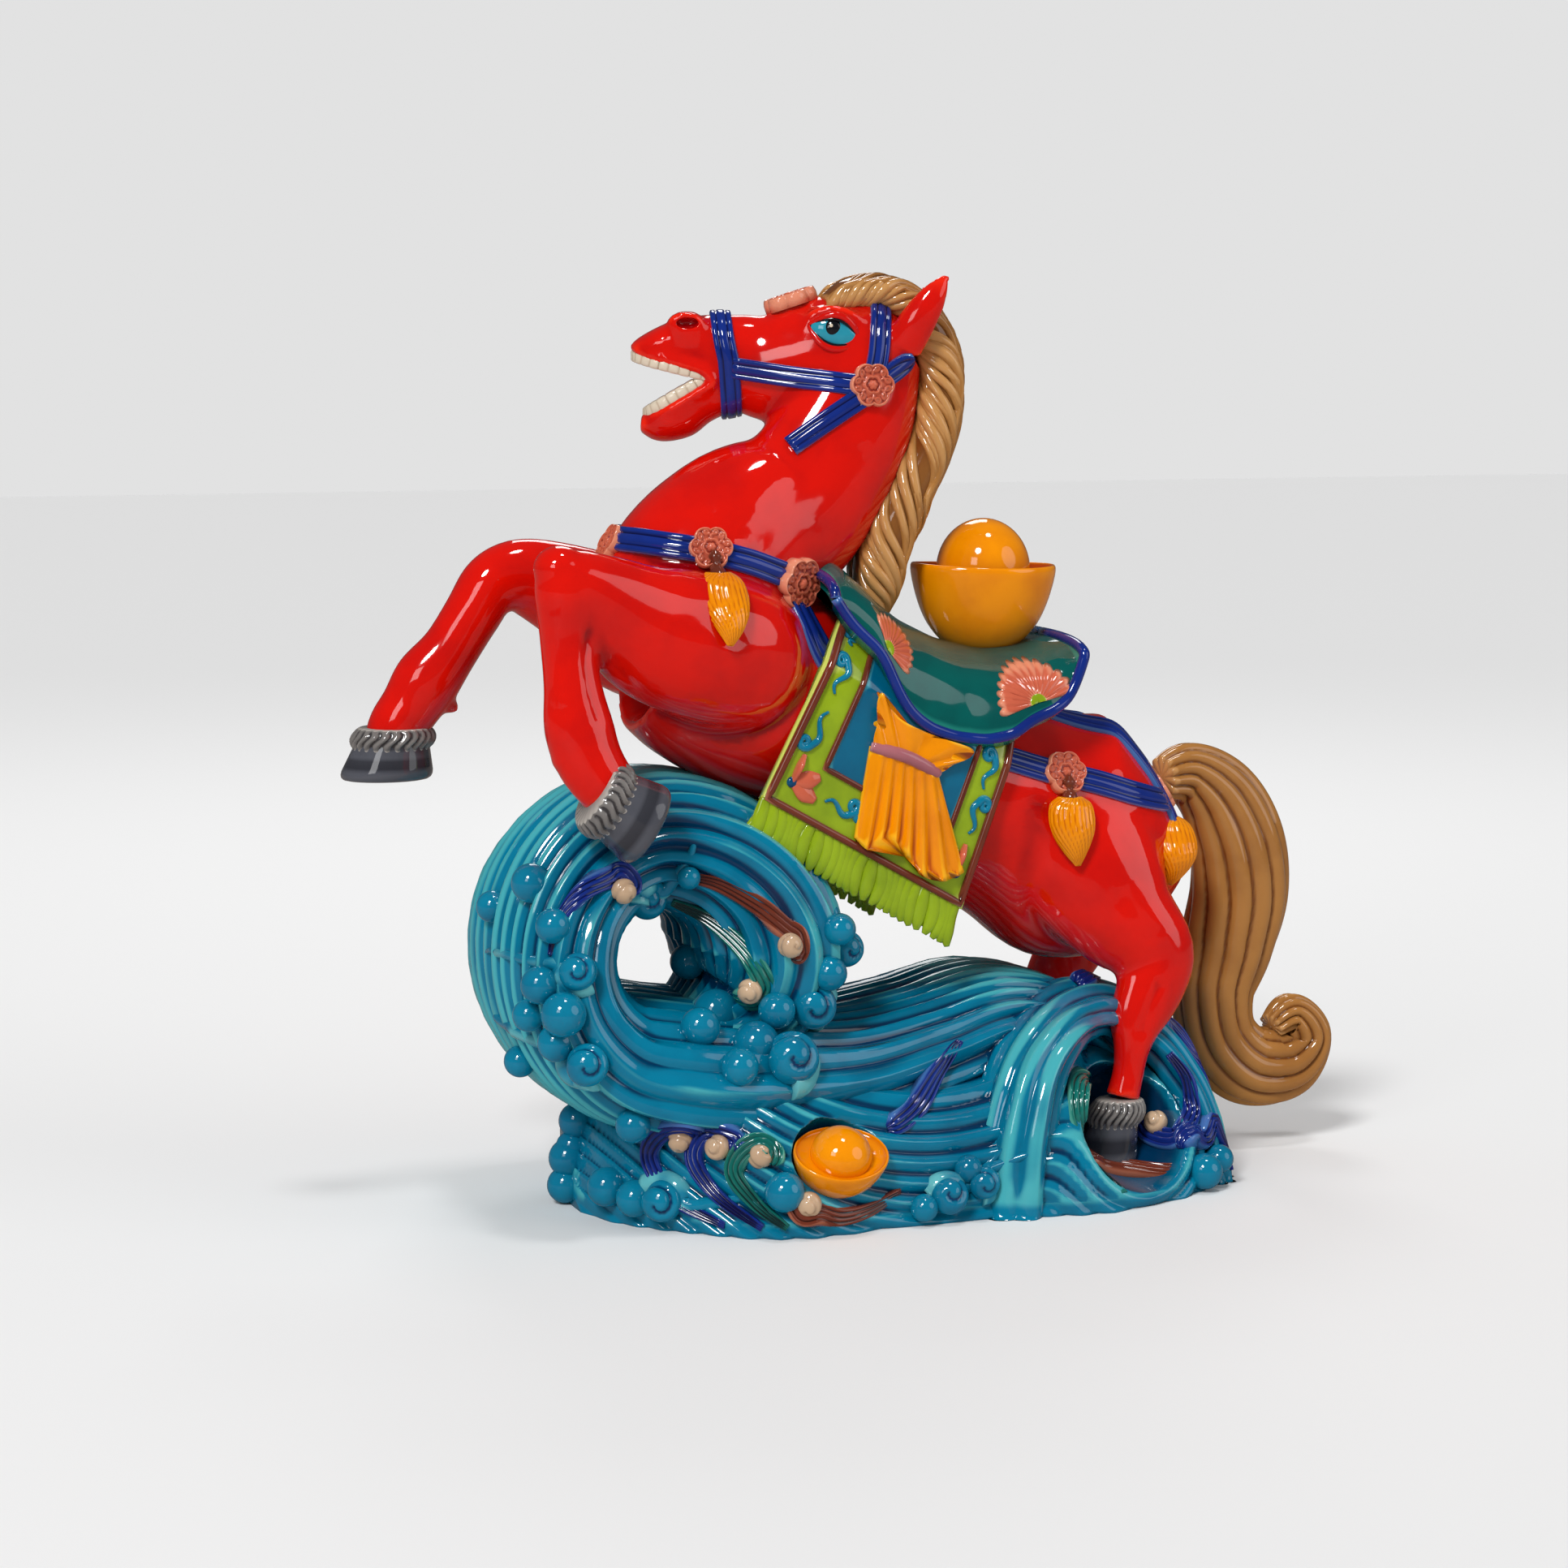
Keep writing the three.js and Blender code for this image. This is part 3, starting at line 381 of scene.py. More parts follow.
def egg(at, radii, sides=24, rings=16):
    """A ball drawn out to an ellipsoid."""
    deselect()
    bpy.ops.mesh.primitive_uv_sphere_add(segments=sides, ring_count=rings, location=at, scale=radii)
    bpy.ops.object.transform_apply()
    return taken(bpy.context.object)


def spun(profile, sides):
    """A profile of [radius, height] spun once round the upright axis."""
    mesh = bpy.data.meshes.new("profile")
    edges = [(i, i + 1) for i in range(len(profile) - 1)]
    mesh.from_pydata([(radius, 0, height) for radius, height in profile], edges, [])
    piece = bpy.data.objects.new("profile", mesh)
    bpy.context.scene.collection.objects.link(piece)
    use(piece)
    bpy.ops.object.mode_set(mode="EDIT")
    bpy.ops.mesh.select_all(action="SELECT")
    bpy.ops.mesh.spin(steps=sides, angle=2 * math.pi, center=(0, 0, 0), axis=(0, 0, 1))
    bpy.ops.mesh.select_all(action="SELECT")
    bpy.ops.mesh.remove_doubles(threshold=0.001)
    bpy.ops.mesh.normals_make_consistent(inside=False)
    bpy.ops.object.mode_set(mode="OBJECT")
    return taken(piece)


def rotation_z(angle, offset):
    """A 3 x 4 matrix that turns round the upright axis and then shifts."""
    c, s = math.cos(angle), math.sin(angle)
    return np.array([[c, -s, 0, offset[0]], [s, c, 0, offset[1]], [0, 0, 1, offset[2]]], float)


HEAD_PLACE = rotation_z(HEAD_TURN, POLL)


# Mesh objects, in metres

def deselect():
    bpy.ops.object.select_all(action="DESELECT")


def new_object(name, shells):
    """One mesh object, in metres, from shells in millimetres."""
    verts, faces, first = [], [], 0
    for shell_verts, shell_faces in shells:
        verts.append(shell_verts)
        faces.extend([tuple(first + i for i in face) for face in shell_faces])
        first += len(shell_verts)
    mesh = bpy.data.meshes.new(name)
    mesh.from_pydata((np.vstack(verts) * MM).tolist(), [], faces)
    mesh.validate()
    piece = bpy.data.objects.new(name, mesh)
    bpy.context.scene.collection.objects.link(piece)
    return piece


def use(piece):
    """Makes the piece the one that operators act on."""
    deselect()
    piece.select_set(True)
    bpy.context.view_layer.objects.active = piece


def apply_modifier(piece, kind, **settings):
    """Changes the piece by one modifier, which is gone afterwards."""
    use(piece)
    modifier = piece.modifiers.new(kind.title(), kind)
    for key, value in settings.items():
        setattr(modifier, key, value)
    bpy.ops.object.modifier_apply(modifier=modifier.name)


def joined(name, shells):
    """The shells cut into each other, so that only their common outside is left."""
    piece = new_object(name, shells[:1])
    for shell in shells[1:]:
        cutter = new_object(name + "_part", [shell])
        apply_modifier(piece, "BOOLEAN", operation="UNION", solver="MANIFOLD", object=cutter)
        bpy.data.objects.remove(cutter)
    return piece


def vertices(mesh):
    places = np.empty(len(mesh.vertices) * 3)
    mesh.vertices.foreach_get("co", places)
    return places.reshape(-1, 3)


def set_vertices(mesh, places):
    mesh.vertices.foreach_set("co", np.ascontiguousarray(places).ravel())
    mesh.update()


def normals(mesh):
    directions = np.empty(len(mesh.vertices) * 3)
    mesh.vertex_normals.foreach_get("vector", directions)
    return directions.reshape(-1, 3)


def edge_ends(mesh):
    ends = np.empty(len(mesh.edges) * 2, int)
    mesh.edges.foreach_get("vertices", ends)
    return ends.reshape(-1, 2)


def neighbour_mean(values, ends, counts):
    """The mean of each vertex's neighbours."""
    total = np.zeros_like(values)
    for column in range(values.shape[1]):
        total[:, column] = (
            np.bincount(ends[:, 0], values[ends[:, 1], column], len(values))
            + np.bincount(ends[:, 1], values[ends[:, 0], column], len(values))
        )
    return total / counts[:, None]


def neighbour_counts(mesh, ends):
    return np.maximum(np.bincount(ends.ravel(), minlength=len(mesh.vertices)), 1)


def fillet(piece, rounds, share=0.5):
    """Fills creases and hollows round, and leaves what stands proud as it is."""
    mesh = piece.data
    ends = edge_ends(mesh)
    counts = neighbour_counts(mesh, ends)
    places = vertices(mesh)
    for step in range(rounds):
        if step % 10 == 0:
            set_vertices(mesh, places)
            facing = normals(mesh)
        pull = neighbour_mean(places, ends, counts) - places
        rise = np.einsum("ij,ij->i", pull, facing)
        places = places + pull * np.where(rise > 0, share, 0.0)[:, None]
    set_vertices(mesh, places)


def carve_lines(piece, strokes):
    """Strokes of a tool on the piece's sides. Each has a side, a line in X and Z, a width and a
    depth, which is below zero where clay is laid on."""
    mesh = piece.data
    places, facing = vertices(mesh), normals(mesh)
    offset = np.zeros(len(places))
    for side, line, width, depth in strokes:
        drawn = spline([[x, 0, z] for x, z in line], 10)[:, [0, 2]] * MM
        low, high = drawn.min(axis=0) - 3 * width * MM, drawn.max(axis=0) + 3 * width * MM
        flat = places[:, [0, 2]]
        near = (places[:, 1] * side > 0) & np.all((flat > low) & (flat < high), axis=1)
        chosen = np.flatnonzero(near)
        gaps = np.linalg.norm(flat[chosen, None, :] - drawn[None], axis=2)
        nearest = gaps.argmin(axis=1)
        along = nearest / (len(drawn) - 1)
        fade = np.clip(8 * np.minimum(along, 1 - along) + 0.15, 0, 1)
        fade *= np.clip(1.6 * facing[chosen, 1] * side, 0, 1)
        offset[chosen] -= depth * MM * fade * np.exp(-(gaps.min(axis=1) / (width * MM)) ** 2)
    set_vertices(mesh, places + facing * offset[:, None])


def store_relief(piece, rounds, depth):
    """Keeps how far each point lies below (0) or above (1) the smoothed surface, for the glaze.
    A half is the height that half of the points reach."""
    mesh = piece.data
    ends = edge_ends(mesh)
    counts = neighbour_counts(mesh, ends)
    places = vertices(mesh)
    smooth = places
    for _ in range(rounds):
        smooth = 0.5 * smooth + 0.5 * neighbour_mean(smooth, ends, counts)
    height = np.einsum("ij,ij->i", places - smooth, normals(mesh))
    relief = np.clip(0.5 + 0.5 * (height - np.median(height)) / depth, 0.0, 1.0)[:, None]
    relief = 0.5 * relief + 0.5 * neighbour_mean(relief, ends, counts)
    relief = np.minimum(relief, 0.5 + np.clip(places[:, 2:] / (2 * THICK_BELOW * MM), 0.0, 0.5))
    layer = mesh.attributes.get("relief") or mesh.attributes.new("relief", "FLOAT", "POINT")
    layer.data.foreach_set("value", relief.ravel())


def finish(piece, colour, replaced=(), rounds=8, depth=0.6 * MM):
    """Smooth shading, glaze and the piece's place in the frame."""
    use(piece)
    bpy.ops.object.shade_smooth()
    places = vertices(piece.data)
    places[:, 2] = np.maximum(places[:, 2], 0.0)
    set_vertices(piece.data, places)
    store_relief(piece, rounds, depth)
    piece.data.materials.clear()
    piece.data.materials.append(glaze(colour))
    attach(piece, "root")
    if replaced:
        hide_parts(*replaced)


def surface_of(*names):
    """A tree that finds where a line meets the pieces of these names, in metres."""
    missing = [name for name in names if name not in bpy.data.objects]
    if missing:
        raise RuntimeError(f"{', '.join(missing)} must be modelled first")
    verts, faces = [], []
    for name in names:
        mesh = bpy.data.objects[name].data
        start = len(verts)
        verts += [vertex.co.copy() for vertex in mesh.vertices]
        faces += [[start + index for index in face.vertices] for face in mesh.polygons]
    return BVHTree.FromPolygons(verts, faces)


# Glaze

def group_socket(tree, name, kind, way, value=None):
    """An input or output of a node group, with a value where one is given."""
    socket = tree.interface.new_socket(name=name, in_out=way, socket_type=f"NodeSocket{kind}")
    if value is not None:
        socket.default_value = value


def node(tree, kind, **values):
    """A node with values for its settings, by attribute name."""
    new = tree.nodes.new(kind)
    for key, value in values.items():
        setattr(new, key, value)
    return new


def mixed(tree, factor, a, b):
    """The colour between a and b; each is a socket or a colour."""
    mix = node(tree, "ShaderNodeMix", data_type="RGBA")
    for socket, value in ((mix.inputs[0], factor), (mix.inputs[6], a), (mix.inputs[7], b)):
        if isinstance(value, bpy.types.NodeSocket):
            tree.links.new(value, socket)
        else:
            socket.default_value = value
    return mix.outputs[2]


def ranged(tree, value, low, high, to_low=0.0, to_high=1.0):
    """The value from low to high, mapped smoothly between two others."""
    remap = node(tree, "ShaderNodeMapRange", interpolation_type="SMOOTHSTEP")
    tree.links.new(value, remap.inputs[0])
    for socket, bound in zip(remap.inputs[1:5], (low, high, to_low, to_high)):
        socket.default_value = bound
    return remap.outputs[0]


def glaze_group():
    """Glaze that pools darker in hollows, which also paints shade into them, runs thin over edges and varies
    a little all over.
    """
    name = "Pooled Glaze"
    if name in bpy.data.node_groups:
        return bpy.data.node_groups[name]
    tree = bpy.data.node_groups.new(name, "ShaderNodeTree")
    for tone in ("Body", "Pooled And Painted Shade", "Thin"):
        group_socket(tree, tone, "Color", "INPUT")
    group_socket(tree, "Streak Scale", "Float", "INPUT", 40.0)
    group_socket(tree, "Ripple", "Float", "INPUT", 0.1)
    for effect, kind in (("Color", "Color"), ("Roughness", "Float"), ("Normal", "Vector")):
        group_socket(tree, effect, kind, "OUTPUT")
    given = node(tree, "NodeGroupInput")
    result = node(tree, "NodeGroupOutput")
    place = node(tree, "ShaderNodeTexCoord").outputs["Object"]
    cloud = node(tree, "ShaderNodeTexNoise")
    cloud.inputs["Detail"].default_value = 4.0
    tree.links.new(place, cloud.inputs["Vector"])
    tree.links.new(given.outputs["Streak Scale"], cloud.inputs["Scale"])
    relief = node(tree, "ShaderNodeAttribute", attribute_name="relief").outputs["Fac"]
    shifted = node(tree, "ShaderNodeMath", operation="MULTIPLY_ADD")
    tree.links.new(cloud.outputs["Fac"], shifted.inputs[0])
    shifted.inputs[1].default_value = CLOUD_SHARE
    tree.links.new(relief, shifted.inputs[2])
    # Painted shade: the hollows take the darker pooled tone, partly the glaze's own pooling and partly shade
    # painted in
    pooled_and_painted_shade = ranged(tree, shifted.outputs[0], *POOLED_AND_PAINTED_SHADE_RELIEF)
    thin = ranged(tree, shifted.outputs[0], *THIN_RELIEF)
    patches = ranged(tree, cloud.outputs["Fac"], 0.35, 0.75, 0.0, 0.35)
    deeper = mixed(tree, patches, given.outputs["Body"], given.outputs["Pooled And Painted Shade"])
    color = mixed(tree, pooled_and_painted_shade, deeper, given.outputs["Pooled And Painted Shade"])
    color = mixed(tree, thin, color, given.outputs["Thin"])
    tree.links.new(color, result.inputs["Color"])
    tree.links.new(ranged(tree, cloud.outputs["Fac"], 0.3, 0.8, 0.05, 0.11), result.inputs["Roughness"])
    peel = node(tree, "ShaderNodeTexNoise")
    peel.inputs["Scale"].default_value = 55.0
    peel.inputs["Detail"].default_value = 2.0
    tree.links.new(place, peel.inputs["Vector"])
    bump = node(tree, "ShaderNodeBump")
    bump.inputs["Distance"].default_value = 0.6 * MM
    tree.links.new(given.outputs["Ripple"], bump.inputs["Strength"])
    tree.links.new(peel.outputs["Fac"], bump.inputs["Height"])
    tree.links.new(bump.outputs["Normal"], result.inputs["Normal"])
    return tree


def glaze(name):
    """A glossy glaze in three tones; its body colour is the user's."""
    material = bpy.data.materials.get(f"pooled_{name}")
    if material:
        return material
    body = getattr(bpy.context.scene.statue_glazes, name)
    _, pooled_and_painted_shade, thin = GLAZES[name]
    material = bpy.data.materials.new(f"pooled_{name}")
    material.use_nodes = True
    tree = material.node_tree
    shader = tree.nodes["Principled BSDF"]
    coat = node(tree, "ShaderNodeGroup", node_tree=glaze_group())
    for socket, colour in (("Body", body), ("Pooled And Painted Shade", pooled_and_painted_shade), ("Thin", thin)):
        coat.inputs[socket].default_value = (*colour, 1.0)
    for socket in ("Color", "Roughness", "Normal"):
        target = "Base Color" if socket == "Color" else socket
        tree.links.new(coat.outputs[socket], shader.inputs[target])
    shader.inputs["IOR"].default_value = 1.5
    shader.inputs["Coat Weight"].default_value = 0.35
    shader.inputs["Coat Roughness"].default_value = 0.03
    return material


# The horse and the water

def both_sides(stations):
    return [mirrored(stations), stations]


FAR_EAR = [[11, 14, 367, 8, 6], [15, 18.5, 377, 7.5, 6], [20, 22.5, 386, 5.4, 4], [24, 24.5, 393, 1.6, 1.2]]
CHEEK = {"at": (-20, 11.5, 351), "radii": (18, 10, 17)}
NOSTRIL = {"at": (-82, 7.8, 376.8), "radii": (8.8, 5.4, 6.2)}
NOSTRIL_HOLE = {"at": (-81.5, 13.6, 377.6), "radii": (5.0, 4.2, 2.5)}
LIP = [
    [-104, 4, 366, 1.5, 3.5], [-96, 8.5, 363, 2.2, 3], [-85, 11.2, 360.5, 2.4, 2.6],
    [-73, 12.4, 356, 2.4, 2.4], [-71, 12.4, 352, 2.4, 2.4], [-78, 11.4, 347.5, 2.2, 2.4],
    [-88, 10, 341.5, 2.2, 2.6], [-97, 6, 337, 2, 3],
]
EYE = {"at": (-18.6, 17.6, 373.4), "radii": (11.3, 5.0, 7.9), "tilt": math.radians(-17)}


def oval(centre, radii, tilt, side, bulge, count=48):
    """A closed oval on the side of the head, its ends set back by the bulge."""
    angle = np.linspace(0, 2 * math.pi, count)
    u, w = radii[0] * np.cos(angle), radii[1] * np.sin(angle)
    c, s = math.cos(tilt), math.sin(tilt)
    y = centre[1] - bulge * np.abs(np.cos(angle)) ** 2
    return np.stack([centre[0] + u * c - w * s, side * y, centre[2] + u * s + w * c], axis=1)


def head_shells():
    """The skull, jaw, ears, lips, cheeks and nostrils, with rims round the eyes and nostrils."""
    shells = [loft(SKULL, 36, 8), loft(JAW, 32, 8)]
    for side in (NEAR, FAR):
        ear = mirrored(EAR) if side == NEAR else FAR_EAR
        shells.append(loft(ear, 20, 8))
        shells.append(loft(mirrored(LIP) if side == NEAR else LIP, 14, 8))
        for form in (CHEEK, NOSTRIL):
            x, y, z = form["at"]
            shells.append(egg((x, side * y, z), form["radii"]))
        x, y, z = EYE["at"]
        shells.append(tube(oval((x + 0.8, y + 1.2, z), (13.2, 9.6), EYE["tilt"], side, 2.8), 2.2, 10))
        shells.append(tube(oval((-82, 12.2, 377.2), (6.6, 3.9), -0.1, side, 0.8), 1.5, 10))
    return [moved(shell, HEAD_PLACE) for shell in shells]


def horse_shells():
    """The body, the neck, the joints, the legs and the head."""
    limbs = [NEAR_FORELEG, NEAR_CANNON, FAR_FORELEG, *both_sides(NEAR_HINDLEG), SPUR]
    body = [loft(TRUNK, 48, 6), loft(NECK, 40, 6)]
    body += [egg(at, radii) for at, radii in JOINTS]
    return body + [loft(limb, 28, 6) for limb in limbs] + head_shells()


def hoof_shells(hoof):
    """A hoof that flares to its sole, and the band of feather round its top."""
    sole, top, toe = (np.array(hoof[key], float) for key in ("sole", "top", "toe"))
    axis = sole - top
    height = np.linalg.norm(axis)
    across = np.array([0.0, 1.0, 0.0])
    angle = 2 * math.pi * np.arange(120) / 120

    def ring(share, out, bend=0.0):
        half = [hoof["neck"][k] + (hoof["half"][k] - hoof["neck"][k]) * share + out for k in (0, 1)]
        middle = top + axis * share
        c, s = np.cos(angle + bend)[:, None], np.sin(angle + bend)[:, None]
        return middle + toe * half[0] * c + across * half[1] * s

    wall = [ring(t, 0.0) for t in (0.0, 0.2, 0.4, 0.55, 0.7, 0.8)]
    wall += [ring(t, out) for t, out in ((0.88, -0.4), (0.94, -1.2), (0.98, -2.5), (1.0, -4.5), (1.0, -5.0))]
    band = []
    for t in np.linspace(0, 1, 22):
        puff = 2.6 * math.sin(math.pi * min(1.0, 0.12 + t)) ** 0.7
        lie = np.abs(np.cos(12 * angle + 1.1 * math.sin(5.6 * t) + 0.5 * np.sin(3 * angle)))
        strands = 2.0 * (lie - 0.5) * math.sin(math.pi * t) ** 0.3
        fall = 1.6 * lie[:, None] * t
        shape = ring(-0.10 + 0.40 * t, puff + strands[:, None])
        band.append(shape + axis / height * fall)
    return skin(np.array(wall)), skin(np.array(band))


def crown(many, depth, wander, waves):
    """Ridges that swing from side to side along their length."""
    def carve(turn, place):
        swing = wander * np.sin(2 * math.pi * waves * place)
        return flutes(turn + swing, many, depth) + 0.5 * depth
    return carve


def curl_stations():
    """The stations of the curl, laid out round the eye of the wave."""
    x, z = EYE_OF_WAVE
    stations = []
    for degrees, distance, half, half_depth in CURL:
        angle = math.radians(degrees)
        place = [x + distance * math.cos(angle), 0, z + distance * math.sin(angle)]
        stations.append([*place, half, half_depth])
    return stations


def streams(turn, depth):
    """Rounded streams with a groove between them and a fine crest along each."""
    crest = 0.16 * depth * (1 - np.abs(np.sin(math.pi * turn))) ** 5
    return flutes(turn, 1, depth, 1.0) + crest


def flow(x, y, z):
    """The height of each stream over the foot: they hang from both ends, and the rear ones of the
    near side circle the hind hoof."""
    hanging = z - (x - 5) ** 2 / 240
    rings = 58 - np.hypot(x - HOOF_HOLLOW["at"][0], z - HOOF_HOLLOW["at"][2])
    both = 7 * np.logaddexp(hanging / 7, rings / 7)
    return np.where(y < 0, both, hanging)


def foot_shell(sides, steps):
    """The foot is a low mound with streams over it, flat below."""
    rows = spline([[x, 0, 0, height, half] for x, height, half in FOOT], steps)
    angle = np.linspace(0, math.pi, sides)
    y = -np.sign(np.cos(angle)) * np.abs(np.cos(angle)) ** 0.8
    z = np.sin(angle) ** 0.9
    reach = np.where(y > 0, FAR_FOOT, 1.0)
    heights = flow(rows[:, :1], y[None, :], z[None, :] * rows[:, 3:4])
    depth = streams(heights / FOOT_STREAMS["spacing"], FOOT_STREAMS["depth"])
    rings = np.stack([
        np.repeat(rows[:, :1], sides, axis=1),
        y[None, :] * (reach[None, :] * rows[:, 4:5] + depth),
        z[None, :] * np.maximum(rows[:, 3:4] + depth, 0.3),
    ], axis=-1)
    return skin(rings)


def water_band(many, depth):
    """Streams along a band of water, which drift a little round it."""
    def carve(turn, place):
        drift = 0.012 * np.sin(2 * math.pi * (2 * turn + 1.5 * place))
        return streams((turn + drift) * many, depth)
    return carve


# Laying things on other things

STRAP_PROFILE = [
    [-1, -0.6], [-1, 0.55], [-0.9, 0.9], [-0.55, 0.95], [-0.45, 0.6], [-0.32, 1.0], [0.32, 1.0],
    [0.45, 0.6], [0.55, 0.95], [0.9, 0.9], [1, 0.55], [1, -0.6],
]


def sweep(path, facing, half_width, height, profile):
    """A band along a path. The profile is [across, out] in shares of the half-width and height."""
    profile = np.asarray(profile, float)
    along = unit(np.gradient(path, axis=0))
    facing = unit(facing - np.einsum("ij,ij->i", facing, along)[:, None] * along)
    across = np.cross(along, facing)
    half_width = np.broadcast_to(half_width, len(path))
    height = np.broadcast_to(height, len(path))
    wide = (half_width[:, None] * profile[:, 0])[..., None]
    out = (height[:, None] * profile[:, 1])[..., None]
    return skin(path[:, None] + across[:, None] * wide + facing[:, None] * out)


def tube(path, radius, sides=10):
    """A round tube along a path, of one radius or a radius for each point."""
    path = np.asarray(path, float)
    along = unit(np.gradient(path, axis=0))
    helper = np.array([0.0, 1.0, 0.0]) if np.abs(along[:, 1]).mean() < 0.8 else np.array([1.0, 0, 0])
    side = unit(np.cross(along, helper))
    up = np.cross(side, along)
    angle = 2 * math.pi * np.arange(sides) / sides
    radius = np.broadcast_to(radius, len(path))[:, None, None]
    circle = np.cos(angle)[None, :, None] * side[:, None] + np.sin(angle)[None, :, None] * up[:, None]
    return skin(path[:, None] + radius * circle)


def slab(top, bottom):
    """A closed plate between two grids of points."""
    return skin(np.concatenate([top, bottom[:, ::-1]], axis=1))


def cast(tree, start, towards):
    """Where a line of sight meets a surface, or passes nearest to it at the middle, and which
    way the surface faces there; in millimetres."""
    towards = Vector(towards).normalized()
    hit, facing, _, _ = tree.ray_cast(Vector(start) * MM, towards)
    if hit is None:
        hit, facing, _, _ = tree.find_nearest((Vector(start) - towards * towards.dot(Vector(start))) * MM)
    return np.array(hit) / MM, np.array(facing)


def eased(values, rounds):
    """The values with each drawn towards its neighbours, and the two ends kept."""
    values = values.copy()
    for _ in range(rounds):
        values[1:-1] = 0.5 * values[1:-1] + 0.25 * (values[:-2] + values[2:])
    return values


def eased_hits(hits, place_rounds, facing_rounds):
    """The places of a row of hits, and the ways the surface faces there, eased along the row."""
    places = np.array([place for place, _ in hits])
    facing = np.array([way for _, way in hits])
    return eased(places, place_rounds), unit(eased(facing, facing_rounds))


def from_side(tree, side, line, steps=10, rounds=10):
    """A line drawn in X and Z, laid on a surface as seen from one side, its depth eased."""
    drawn = spline([[x, 0, z] for x, z in line], steps)
    hits = [cast(tree, (x, side * OUTSIDE, z), (0, -side, 0)) for x, _, z in drawn]
    places, facing = eased_hits(hits, 0, 36)
    places[:, 1:2] = eased(places[:, 1:2], rounds)
    return places, facing


def rim_path(tree, line, steps=10):
    """A line drawn in X and Y, laid on a surface as seen from above."""
    drawn = spline([[x, y, 0] for x, y in line], steps)
    hits = [cast(tree, (x, y, OUTSIDE), (0, 0, -1)) for x, y, _ in drawn]
    return eased_hits(hits, 10, 36)


def round_front(tree, axis_x, line, first, last, many=160):
    """A belt round an upright axis, from one compass angle to another, at the line's heights."""
    xs, zs = np.array(line, float).T
    hits = []
    for degrees in np.linspace(first, last, many):
        angle = math.radians(degrees)
        direction = np.array([math.cos(angle), math.sin(angle), 0])
        height = np.interp(axis_x + 60 * direction[0], xs, zs)
        for _ in range(4):
            start = np.array([axis_x, 0, height]) + 64 * direction
            hit = cast(tree, start, -direction)
            height = np.interp(hit[0][0], xs, zs)
        hits.append(hit)
    return eased_hits(hits, 6, 20)


# Harness

COLLAR = [[-140, 288], [-108, 286], [-82, 282], [-64, 277], [-42, 269], [-26, 258]]
GIRTH = [[-44, 266], [-40, 254], [-35, 241], [-31, 233]]
# Seen from above, in X and the distance from the middle
CRUPPER_TOP = [[82, 12], [96, 16], [110, 19], [122, 22], [132, 24], [138, 26]]
CRUPPER_SIDE = [[50, 190], [72, 183], [92, 178], [111, 172], [129, 167], [138, 165]]
# The bridle, in the head's own frame and drawn from its side
NOSE_STRAP = [[-62.5, 338], [-64, 363], [-68, 384]]
BRIDLE = [
    [[-62, 358.5], [-36, 354.5], [-8, 351]],
    [[-1.5, 356], [0.5, 366], [1.5, 380], [1.5, 388]],
    [[-2, 351], [7, 357], [15, 363]],
    [[-4, 348], [-20, 337.5], [-38, 325]],
]


def strap_shell(laid, kind):
    """A strap or a bridle strap; the kind names its sizes."""
    places, facing = laid
    half_width = 0.5 * millimetres(f"{kind}_width")
    return sweep(places, facing, half_width, millimetres(f"{kind}_height"), STRAP_PROFILE)


def head_side(tree, side, line, steps=10):
    """A line drawn on the side of the head, laid on it in the statue's frame."""
    drawn = spline([[x, 0, z] for x, z in line], steps)
    rotation = HEAD_PLACE[:, :3]
    towards = rotation @ np.array([0, -side, 0])
    hits = []
    for x, _, z in drawn:
        start = rotation @ np.array([x, side * 200, z]) + HEAD_PLACE[:, 3]
        hits.append(cast(tree, start, towards))
    return eased_hits(hits, 6, 20)


def round_nose(tree, many=90):
    """The strap that goes right round the nose."""
    zs = [z for _, z in NOSE_STRAP]
    xs = [x for x, _ in NOSE_STRAP]
    rotation = HEAD_PLACE[:, :3]
    hits = []
    for turn in np.linspace(0, 2 * math.pi, many):
        direction = np.array([0, math.cos(turn), math.sin(turn)])
        z = 361 + 20 * direction[2]
        middle = rotation @ np.array([np.interp(z, zs, xs), 0, 361]) + HEAD_PLACE[:, 3]
        out = rotation @ direction
        hits.append(cast(tree, middle + 27 * out, -out))
    return eased_hits(hits, 3, 8)


def harness_shells(tree):
    """The straps of the breast, the back and the bridle."""
    collar = [strap_shell(round_front(tree, -72, COLLAR, -38, -322), "strap")]
    crupper = []
    bridle = [strap_shell(round_nose(tree), "bridle")]
    for side in (NEAR, FAR):
        collar.append(strap_shell(from_side(tree, side, GIRTH), "strap"))
        from_above = [[x, side * y] for x, y in CRUPPER_TOP]
        crupper.append(strap_shell(rim_path(tree, from_above), "strap"))
        crupper.append(strap_shell(from_side(tree, side, CRUPPER_SIDE), "strap"))
        for line in BRIDLE:
            bridle.append(strap_shell(head_side(tree, side, line), "bridle"))
    return collar, crupper, bridle


def frame_at(place, facing, up=(0, 0, 1)):
    """A 3 x 4 matrix that puts a piece made round the origin, facing +Z, on a surface."""
    facing = unit(np.asarray(facing, float))
    up = np.asarray(up, float)
    vertical = unit(up - (up @ facing) * facing)
    across = np.cross(vertical, facing)
    return np.column_stack([across, vertical, facing, np.asarray(place, float)])


